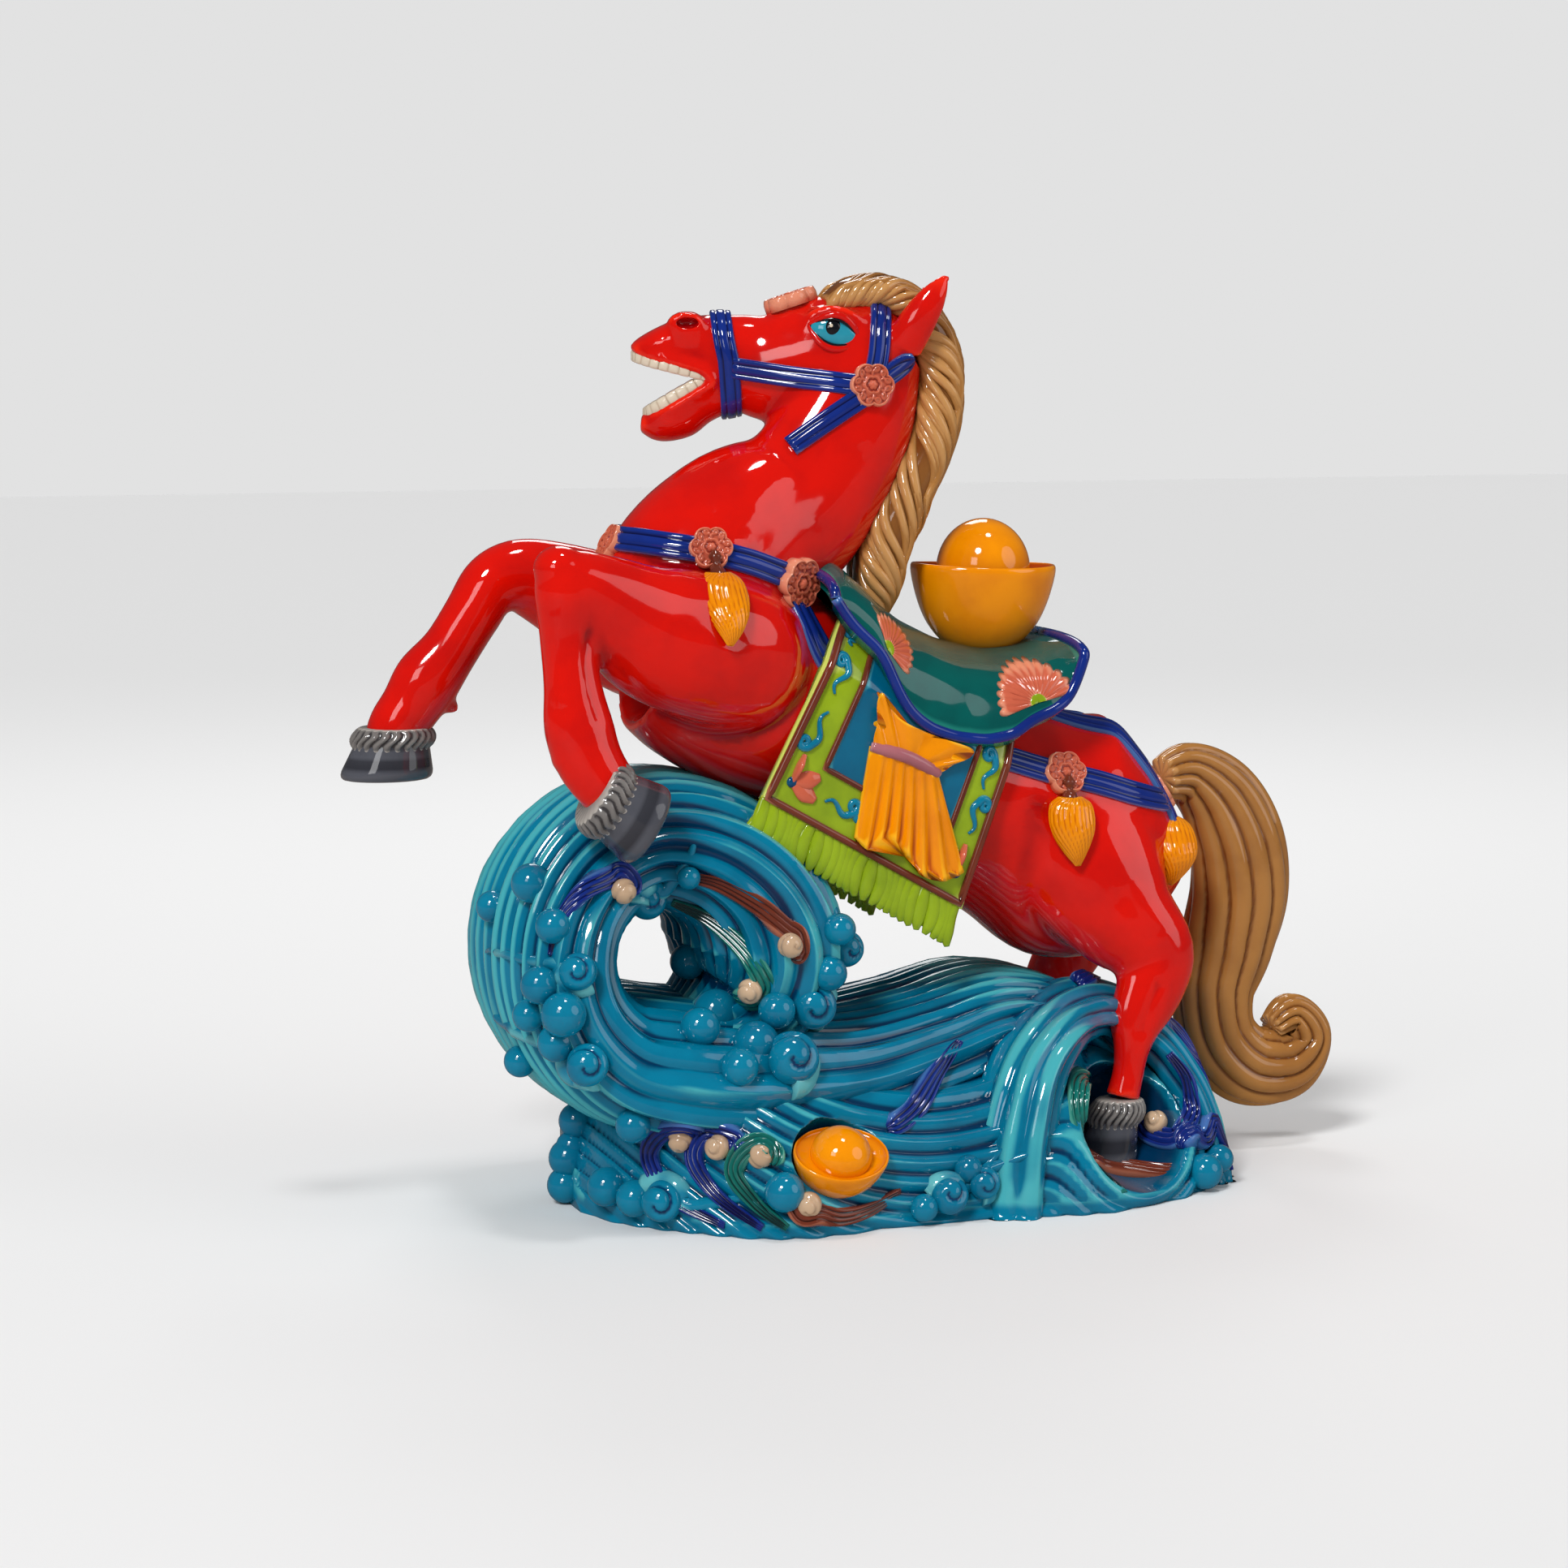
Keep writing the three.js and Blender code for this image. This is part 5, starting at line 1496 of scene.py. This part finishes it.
def eye_shells(side):
    """The eyeball, the pupil, its glint, the dark line along the lids, and the lids."""
    x, y, z = EYE["at"]
    c, s = math.cos(EYE["tilt"]), math.sin(EYE["tilt"])
    turn = np.array([[c, 0, -s, x], [0, 1, 0, side * y], [s, 0, c, z]])
    ball = moved(egg((0, 0, 0), EYE["radii"], 64, 40), turn)
    pupil = moved(egg((-1.2, side * 3.4, 1.4), (4.0, 1.9, 4.2), 40, 24), turn)
    glint = moved(egg((-2.4, side * 5.15, 2.6), (0.8, 0.35, 0.8), 16, 12), turn)
    lids, lines = [], []
    t = np.linspace(-1, 1, 30)
    for bow in (7.7, -6.7):
        lid = np.stack([11.6 * t, side * (4.2 - 3.8 * t ** 2), bow * (1 - t ** 2)], axis=1)
        lids.append(moved(tube(lid, 1.7 - 0.9 * np.abs(t) ** 3, 12), turn))
        rim = lid * np.array([0.93, 1, 0.76]) + np.array([0, side * 0.45, 0])
        lines.append(moved(tube(rim, 0.7, 8), turn))
    groups = ([ball], [pupil], [glint], lines, lids)
    return [[moved(shell, HEAD_PLACE) for shell in group] for group in groups]


# Strokes on one side: [side, line in X and Z, width, depth]. The paired ones are on both sides.
STROKES = [
    [NEAR, [[-135, 247], [-128, 234], [-117, 220], [-103, 212], [-87, 204], [-74, 202], [-59, 206],
            [-46, 219], [-40, 233], [-43, 250], [-51, 261]], 4.5, 1.8],
    [NEAR, [[-150, 290], [-139, 291], [-124, 284], [-108, 280], [-92, 277], [-75, 273]], 3.2, 1.5],
    [NEAR, [[-142, 256], [-144.5, 240], [-143, 226], [-139, 212]], 2.2, 0.98],
    [NEAR, [[-156, 262], [-156.5, 240], [-155, 220]], 4.0, -0.75],
    [NEAR, [[-72, 266], [-80, 258], [-84, 251], [-74, 245]], 4.0, 0.9],
    [FAR, [[-178, 246], [-184, 234], [-190, 226]], 2.5, 0.75],
]
PAIRED_STROKES = [
    [[[-48, 322], [-62, 307], [-76, 294]], 9.0, -0.9],
    [[[-22, 330], [-40, 309], [-58, 290], [-66, 280]], 9.0, 0.8],
    [[[-6, 326], [-18, 306], [-32, 288]], 8.0, 0.6],
    [[[66, 176], [60, 160], [58, 146], [64, 132], [76, 124]], 8.0, 1.1],
    [[[96, 132], [106, 120], [114, 108]], 6.0, 0.7],
    [[[117, 92], [111, 80], [106, 66]], 3.0, 0.9],
    [[[-30, 186], [-10, 172], [14, 160], [36, 150]], 8.0, 0.8],
]


# Adding the pieces

def add_horse():
    piece = new_object("horse_body", horse_shells())
    apply_modifier(piece, "REMESH", mode="VOXEL", voxel_size=bpy.context.scene.statue_sizes.clay_grain)
    fillet(piece, 60)
    apply_modifier(piece, "SMOOTH", factor=0.5, iterations=5)
    apply_modifier(piece, "DECIMATE", ratio=0.66)
    both = [[side, *stroke] for side in (NEAR, FAR) for stroke in PAIRED_STROKES]
    carve_lines(piece, STROKES + both)
    holes = []
    for side in (NEAR, FAR):
        x, y, z = NOSTRIL_HOLE["at"]
        holes.append(moved(egg((x, side * y, z), NOSTRIL_HOLE["radii"], 32, 20), HEAD_PLACE))
    hollowed(piece, holes)
    finish(piece, "red", ["horse"], rounds=24, depth=0.9 * MM)


def add_hooves():
    parts = [hoof_shells(hoof) for hoof in HOOVES]
    finish(new_object("hooves", [wall for wall, _ in parts]), "grey")
    finish(new_object("feather", [band for _, band in parts]), "feather", rounds=5,
           depth=0.35 * MM)


def lock_shell(rows, start, reach, size, side, phase, bulk):
    """A wavy lock that leaves the neck, flows back to the crest of the mane and falls along it."""
    path, up_size, side_size = rows[:, :3], rows[:, 3], rows[:, 4]
    t = np.linspace(0, 1, 30)
    at = np.clip(start + reach * t, 0, 1) * (len(rows) - 1)
    along = unit(np.gradient(path, axis=0))
    across = np.array(ACROSS)
    sideways = unit(across - (along @ across)[:, None] * along)
    upward = np.cross(along, sideways)
    step = np.arange(len(rows))

    def pick(values):
        return np.stack([np.interp(at, step, column) for column in values.T], axis=1)

    wave = 0.30 * np.sin(2 * math.pi * (1.7 * t + phase)) * np.sin(math.pi * t) ** 0.5
    turn = 2.8 * (1 - t) ** 1.25 + wave
    high = pick(upward) * np.interp(at, step, up_size)[:, None] * np.cos(turn)[:, None]
    wide = pick(sideways) * np.interp(at, step, side_size)[:, None] * np.sin(turn)[:, None]
    lift = bulk + 0.05 * np.sin(math.pi * t)
    places = pick(path) + (high + side * wide) * lift[:, None]
    thick = size * np.minimum(1.0, 4 * t + 0.4) * np.clip(1.25 * (1 - t), 0.02, 1) ** 0.6
    return tube(places, thick, 8)


# Locks of the mane that swing together
LOCKS_IN_GROUP = 6


def mane_shells():
    """A core with locks over it on both sides, in groups that swing together."""
    locks = number("mane_locks")
    rows = spline(MANE, 12)
    shells = [loft([[*row[:3], row[3] * 0.96, row[4] * 0.96] for row in MANE], 48, 10)]
    for side in (NEAR, FAR):
        for i in range(locks):
            group, place = divmod(i, LOCKS_IN_GROUP)
            start = -0.16 + 1.04 * i / locks
            size = 2.0 + 0.40 * math.sin(2.6 * i) + (0.5 if place == 3 else 0.0)
            reach = 0.35 + 0.06 * math.sin(1.9 * group) + 0.03 * math.sin(2.9 * i)
            phase = 0.10 * math.sin(2.2 * group) + 0.012 * place
            bulk = 0.92 + 0.05 * math.sin(math.pi * place / (LOCKS_IN_GROUP - 1)) + 0.02 * math.sin(5.3 * i)
            shells.append(lock_shell(rows, start, reach, size, side, phase, bulk))
    return shells


def add_hair():
    finish(new_object("mane_locks", mane_shells()), "tan", ["mane"], rounds=5, depth=0.4 * MM)
    tail = [loft(TAIL, 140, 14, carve=crown(11, millimetres("tail_depth"), 0.05, 1.2))]
    finish(new_object("tail_locks", tail), "tan", ["tail"], rounds=14, depth=0.8 * MM)


def add_wave():
    hollows = [egg(form["at"], form["radii"], 80, 50) for form in (HOOF_HOLLOW, INGOT_HOLLOW)]
    depth = millimetres("stream_depth")
    curl = loft(curl_stations() + CREST, 390, 8, square=2.6, carve=water_band(CURL_STREAMS, depth))
    swirl = loft(SWIRL, 150, 10, carve=water_band(SWIRL_STREAMS, SWIRL_SHARE_OF_DEPTH * depth))
    upper = joined("water_curl", [curl, swirl])
    hollowed(upper, hollows)
    finish(upper, "turquoise", ["wave_base"], rounds=30, depth=1.1 * MM)
    lower = new_object("water_foot", [foot_shell(260, 16)])
    hollowed(lower, hollows)
    finish(lower, "turquoise", rounds=24, depth=1.0 * MM)


def add_straps():
    tree = surface_of("horse_body")
    collar, crupper, bridle = harness_shells(tree)
    parts = (
        ("collar_straps", collar, ["breast_collar"]), ("crupper_straps", crupper, ["crupper"]),
        ("bridle_straps", bridle, ["bridle"]),
    )
    for name, shells, nodes in parts:
        finish(new_object(name, shells), "navy", nodes, rounds=4, depth=0.4 * MM)
    rosettes, skirts, knots = trim_shells(tree)
    nodes = [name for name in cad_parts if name.startswith("rosette_")]
    finish(new_object("rosettes", rosettes), "coral", nodes, rounds=16, depth=0.4 * MM)
    nodes = [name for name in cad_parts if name.startswith("tassel_")]
    finish(new_object("tassel_threads", skirts), "gold", nodes, rounds=4, depth=0.3 * MM)
    finish(new_object("tassel_knots", knots), "brown")


def add_saddle():
    grid = saddle_grid()
    inner = grid * np.array([1, 0.9, 1]) - np.array([0, 0, 5])
    seat = new_object("saddle_seat", [slab(grid, inner)])
    finish(seat, "teal", ["saddle"])
    rim = saddle_rim(grid)
    finish(new_object("saddle_rim", [tube(rim, 0.5 * millimetres("saddle_edge"), 12)]), "navy")
    tree = surface_of("saddle_seat")
    petals, hearts = [], []
    for side in (NEAR, FAR):
        more = flower_shells(tree, side)
        petals += more[0]
        hearts += more[1]
    finish(new_object("saddle_petals", petals), "coral", rounds=4, depth=0.3 * MM)
    finish(new_object("saddle_flower_hearts", hearts), "lime")


def add_blanket():
    borders, trims, fields, scrolls, petals, beads, fringes = [], [], [], [], [], [], []
    for side in (NEAR, FAR):
        borders.append(blanket_patch(side, 0.0, 1.0, BLANKET["low"], BLANKET["high"], 0))
        outline = [[0.02, 33], [0.02, -48.2], [0.98, -48.2], [0.98, 33]]
        trims.append(blanket_line(side, outline, 1.7, 2.4))
        inner = [
            [FIELD["front"], 33], [FIELD["front"], FIELD["low"]], [FIELD["rear"], FIELD["low"]],
            [FIELD["rear"], 33],
        ]
        trims.append(blanket_line(side, inner, 1.3, 1.8))
        fields.append(blanket_patch(side, FIELD["front"], FIELD["rear"], FIELD["low"], 33, 0.7))
        scrolls += [scroll(side, *line) for line in SCROLLS]
        for spot in CORNERS:
            more, bead = corner_flower(side, spot)
            petals += more
            beads.append(bead)
        fringes += fringe_shells(side)
    finish(new_object("blanket_border", borders), "lime", ["saddle_blanket"])
    finish(new_object("blanket_trim", trims), "brown")
    finish(new_object("blanket_field", fields), "blue")
    finish(new_object("blanket_scrolls", scrolls + beads), "foam")
    finish(new_object("blanket_petals", petals), "coral")
    finish(new_object("blanket_fringe", fringes), "lime", rounds=4, depth=0.5 * MM)


def add_sashes():
    for side, word in ((NEAR, "near"), (FAR, "far")):
        cloth = [sash_shell(side, SASH_TOP, 6, 0.75), sash_shell(side, SASH_HEM, 7, 1.0)]
        piece = new_object(f"sash_{word}", cloth)
        finish(piece, "gold", [f"drape_{word}"], rounds=6, depth=0.6 * MM)
    bands = [sash_band(side) for side in (NEAR, FAR)]
    finish(new_object("sash_bands", bands), "mauve")


def add_ingots():
    large = ingot_shells((54, 0, 233), millimetres("large_ingot"), 0.84, 0.90, 0, 1.5)
    small = ingot_shells((-45, -84, 17), millimetres("small_ingot"), 0.83, 0.73, 30, 0)
    finish(new_object("large_ingot_gold", large), "gold", ["large_ingot"])
    finish(new_object("small_ingot_gold", small), "gold", ["small_ingot"])


def add_ribbons():
    tree = surface_of("water_curl", "water_foot")
    tips = []
    for name, (colour, line, tip) in RIBBONS.items():
        if tip:
            line, tip = crozier(line, tip)
        laid = from_side(tree, NEAR, line, 8, 40)
        piece = new_object(f"ribbon_{name}", [ribbon_shell(laid)])
        finish(piece, colour, [f"strand_{name}"], rounds=4, depth=0.4 * MM)
        if tip is not None:
            place, facing = cast(tree, (tip[0], -OUTSIDE, tip[1]), (0, 1, 0))
            tips.append(moved(whorl(5.4, 1.2), frame_at(place + 2.6 * facing, facing)))
    for name, (colour, line) in {**RIM_RIBBONS, **FAR_RIM_RIBBONS}.items():
        piece = new_object(f"ribbon_{name}", [ribbon_shell(rim_path(tree, line))])
        finish(piece, colour, [f"strand_{name}"], rounds=4, depth=0.4 * MM)
    finish(new_object("ribbon_tips", tips), "cream", rounds=3, depth=0.3 * MM)


def add_foam():
    tree = surface_of("water_curl", "water_foot")
    finish(new_object("foam", foam_shells(tree)), "foam", rounds=4, depth=0.5 * MM)


def add_face():
    kinds = ([], [], [], [], [])
    for side in (NEAR, FAR):
        for shells, kind in zip(eye_shells(side), kinds):
            kind.extend(shells)
    balls, pupils, glints, lines, lids = kinds
    finish(new_object("eyes", balls), "iris")
    finish(new_object("pupils", pupils), "black")
    finish(new_object("glints", glints), "tooth")
    finish(new_object("eye_lines", lines), "black")
    finish(new_object("eyelids", lids), "red")
    rows = [tooth_row(line, number("tooth_count")) for line in (UPPER_TEETH, LOWER_TEETH)]
    teeth = [moved(row, HEAD_PLACE) for row in rows]
    finish(new_object("teeth", teeth), "tooth", rounds=3, depth=0.2 * MM)
    finish(new_object("tongue", [moved(loft(TONGUE, 24, 6), HEAD_PLACE)]), "mauve")


# The stage

# The floor's colour as it is seen, and as the glaze reflects it
FLOOR_SEEN = (0.87, 0.87, 0.87, 1.0)
FLOOR_IN_GLAZE = (0.2, 0.17, 0.15, 1.0)


def add_floor():
    """A pale floor that is darker where the glaze reflects it."""
    bpy.ops.mesh.primitive_plane_add(size=14.0, location=(0, 0, 0))
    floor = bpy.context.object
    floor.name = "floor"
    material = bpy.data.materials.new("pale_floor")
    material.use_nodes = True
    tree = material.node_tree
    shader = tree.nodes["Principled BSDF"]
    reflected = node(tree, "ShaderNodeLightPath").outputs["Is Glossy Ray"]
    grey = mixed(tree, reflected, FLOOR_SEEN, FLOOR_IN_GLAZE)
    tree.links.new(grey, shader.inputs["Base Color"])
    shader.inputs["Roughness"].default_value = 0.8
    floor.data.materials.append(material)


def add_stage():
    """The floor, the room, the lamps and the camera."""
    bpy.context.scene.view_settings.view_transform = "Standard"
    add_floor()
    world = bpy.context.scene.world or bpy.data.worlds.new("World")
    bpy.context.scene.world = world
    world.use_nodes = True
    light_the_room(world.node_tree)
    add_sun("key_sun", (-0.55, -0.62, 0.75), 13, 1.75)
    add_sun("fill_sun", (0.85, -0.7, 0.45), 40, 0.45)
    add_sun("top_sun", (0.1, -0.15, 1.0), 10, 0.5)
    add_light("back", (0.4, 1.4, 1.4), 0.6, 5)
    add_light("window", (-1.3, -1.2, 0.9), 0.5, 3)
    add_camera()


def light_the_room(tree):
    """A soft grey room that looks white itself and shows less in the glaze."""
    path = node(tree, "ShaderNodeLightPath")
    shiny = node(tree, "ShaderNodeMath", operation="MULTIPLY_ADD")
    tree.links.new(path.outputs["Is Glossy Ray"], shiny.inputs[0])
    shiny.inputs[1].default_value = -0.25
    shiny.inputs[2].default_value = 0.32
    seen = node(tree, "ShaderNodeMath", operation="MULTIPLY_ADD")
    tree.links.new(path.outputs["Is Camera Ray"], seen.inputs[0])
    seen.inputs[1].default_value = 0.44
    tree.links.new(shiny.outputs[0], seen.inputs[2])
    tree.links.new(seen.outputs[0], tree.nodes["Background"].inputs["Strength"])
    tree.nodes["Background"].inputs["Color"].default_value = (1.0, 1.0, 1.0, 1.0)


def add_sun(name, towards, width, strength):
    """A broad lamp so far away that it lights the whole floor alike; its width is in degrees."""
    data = bpy.data.lights.new(name, "SUN")
    data.angle = math.radians(width)
    data.energy = strength
    lamp = bpy.data.objects.new(name, data)
    lamp.rotation_euler = (-Vector(towards)).to_track_quat("-Z", "Y").to_euler()
    bpy.context.scene.collection.objects.link(lamp)


def add_light(name, place, size, power):
    """A square lamp that faces the statue; its size is in metres."""
    data = bpy.data.lights.new(name, "AREA")
    data.shape = "SQUARE"
    data.size = size
    data.energy = power
    lamp = bpy.data.objects.new(name, data)
    lamp.location = place
    aim = Vector((0, 0, AIM_HEIGHT)) - Vector(place)
    lamp.rotation_euler = aim.to_track_quat("-Z", "Y").to_euler()
    bpy.context.scene.collection.objects.link(lamp)


def add_camera():
    """The photo's camera; its focal length and the offset of its picture are in pixels."""
    azimuth, elevation, distance = math.radians(-20.0), math.radians(6.0), 1.7
    focal, sensor, frame_px = 4777.0, 36.0, 1932.0
    offset_px = (101.0, 66.0)
    back = Vector((
        math.sin(azimuth) * math.cos(elevation),
        -math.cos(azimuth) * math.cos(elevation),
        math.sin(elevation),
    ))
    data = bpy.data.cameras.new("camera")
    data.sensor_width = sensor
    data.lens = focal / frame_px * sensor
    data.shift_x = -offset_px[0] / frame_px
    data.shift_y = -offset_px[1] / frame_px
    camera = bpy.data.objects.new("camera", data)
    camera.location = Vector((0, 0, AIM_HEIGHT)) + back * distance
    camera.rotation_euler = (-back).to_track_quat("-Z", "Y").to_euler()
    bpy.context.scene.collection.objects.link(camera)
    bpy.context.scene.camera = camera


# The add-on

class STATUE_OT_stage(bpy.types.Operator):
    """Set up the floor, the room, the lights and the camera"""

    bl_idname = "statue.stage"
    bl_label = "Stage"
    bl_options = {"REGISTER", "UNDO"}

    def execute(self, context):
        add_stage()
        return {"FINISHED"}


class STATUE_OT_horse(bpy.types.Operator):
    """Model the horse's body, its head and its legs"""

    bl_idname = "statue.horse"
    bl_label = "Horse"
    bl_options = {"REGISTER", "UNDO"}

    def execute(self, context):
        add_horse()
        return {"FINISHED"}


class STATUE_OT_hooves(bpy.types.Operator):
    """Model the hooves and the hair over them"""

    bl_idname = "statue.hooves"
    bl_label = "Hooves"
    bl_options = {"REGISTER", "UNDO"}

    def execute(self, context):
        add_hooves()
        return {"FINISHED"}


class STATUE_OT_hair(bpy.types.Operator):
    """Model the mane and the tail"""

    bl_idname = "statue.hair"
    bl_label = "Mane and Tail"
    bl_options = {"REGISTER", "UNDO"}

    def execute(self, context):
        add_hair()
        return {"FINISHED"}


class STATUE_OT_wave(bpy.types.Operator):
    """Model the curling wave and its foot"""

    bl_idname = "statue.wave"
    bl_label = "Wave"
    bl_options = {"REGISTER", "UNDO"}

    def execute(self, context):
        add_wave()
        return {"FINISHED"}


class STATUE_OT_harness(bpy.types.Operator):
    """Lay the straps, the rosettes and the tassels on the horse"""

    bl_idname = "statue.harness"
    bl_label = "Harness"
    bl_options = {"REGISTER", "UNDO"}

    def execute(self, context):
        add_straps()
        return {"FINISHED"}


class STATUE_OT_saddle(bpy.types.Operator):
    """Model the saddle and the flowers on it"""

    bl_idname = "statue.saddle"
    bl_label = "Saddle"
    bl_options = {"REGISTER", "UNDO"}

    def execute(self, context):
        add_saddle()
        return {"FINISHED"}


class STATUE_OT_blanket(bpy.types.Operator):
    """Model the blanket, its border and its fringe"""

    bl_idname = "statue.blanket"
    bl_label = "Blanket"
    bl_options = {"REGISTER", "UNDO"}

    def execute(self, context):
        add_blanket()
        return {"FINISHED"}


class STATUE_OT_sashes(bpy.types.Operator):
    """Model the sash that is tied on each side"""

    bl_idname = "statue.sashes"
    bl_label = "Sashes"
    bl_options = {"REGISTER", "UNDO"}

    def execute(self, context):
        add_sashes()
        return {"FINISHED"}


class STATUE_OT_ingots(bpy.types.Operator):
    """Model the large and the small gold ingot"""

    bl_idname = "statue.ingots"
    bl_label = "Ingots"
    bl_options = {"REGISTER", "UNDO"}

    def execute(self, context):
        add_ingots()
        return {"FINISHED"}


class STATUE_OT_ribbons(bpy.types.Operator):
    """Lay the ribbons of clay on the water"""

    bl_idname = "statue.ribbons"
    bl_label = "Ribbons"
    bl_options = {"REGISTER", "UNDO"}

    def execute(self, context):
        add_ribbons()
        return {"FINISHED"}


class STATUE_OT_foam(bpy.types.Operator):
    """Set the balls of foam on the water"""

    bl_idname = "statue.foam"
    bl_label = "Foam"
    bl_options = {"REGISTER", "UNDO"}

    def execute(self, context):
        add_foam()
        return {"FINISHED"}


class STATUE_OT_face(bpy.types.Operator):
    """Model the eyes, the teeth and the tongue"""

    bl_idname = "statue.face"
    bl_label = "Face"
    bl_options = {"REGISTER", "UNDO"}

    def execute(self, context):
        add_face()
        return {"FINISHED"}


OPERATORS = [
    STATUE_OT_stage, STATUE_OT_horse, STATUE_OT_hooves, STATUE_OT_hair, STATUE_OT_wave,
    STATUE_OT_harness, STATUE_OT_saddle, STATUE_OT_blanket, STATUE_OT_sashes, STATUE_OT_ingots,
    STATUE_OT_ribbons, STATUE_OT_foam, STATUE_OT_face,
]


class STATUE_PT_sidebar(bpy.types.Panel):
    """The pieces of the statue, in the order they are modelled, with their sizes and glazes"""

    bl_idname = "STATUE_PT_sidebar"
    bl_label = "Rearing Horse Statue"
    bl_space_type = "VIEW_3D"
    bl_region_type = "UI"
    bl_category = "Statue"

    def draw(self, context):
        layout = self.layout
        for operator in OPERATORS:
            layout.operator(operator.bl_idname)
        groups = (("Sizes", context.scene.statue_sizes), ("Glazes", context.scene.statue_glazes))
        for heading, group in groups:
            box = layout.box()
            box.label(text=heading)
            for name in group.__annotations__:
                box.prop(group, name)


CLASSES = [StatueGlazes, StatueSizes, *OPERATORS, STATUE_PT_sidebar]


def register():
    for kind in CLASSES:
        bpy.utils.register_class(kind)
    bpy.types.Scene.statue_glazes = PointerProperty(type=StatueGlazes)
    bpy.types.Scene.statue_sizes = PointerProperty(type=StatueSizes)


def unregister():
    del bpy.types.Scene.statue_sizes
    del bpy.types.Scene.statue_glazes
    for kind in reversed(CLASSES):
        bpy.utils.unregister_class(kind)


def main():
    """Models every piece in order."""
    register()
    bpy.ops.statue.stage()
    bpy.ops.statue.horse()
    bpy.ops.statue.hooves()
    bpy.ops.statue.hair()
    bpy.ops.statue.wave()
    bpy.ops.statue.harness()
    bpy.ops.statue.saddle()
    bpy.ops.statue.blanket()
    bpy.ops.statue.sashes()
    bpy.ops.statue.ingots()
    bpy.ops.statue.ribbons()
    bpy.ops.statue.foam()
    bpy.ops.statue.face()


if __name__ == "__main__":
    main()
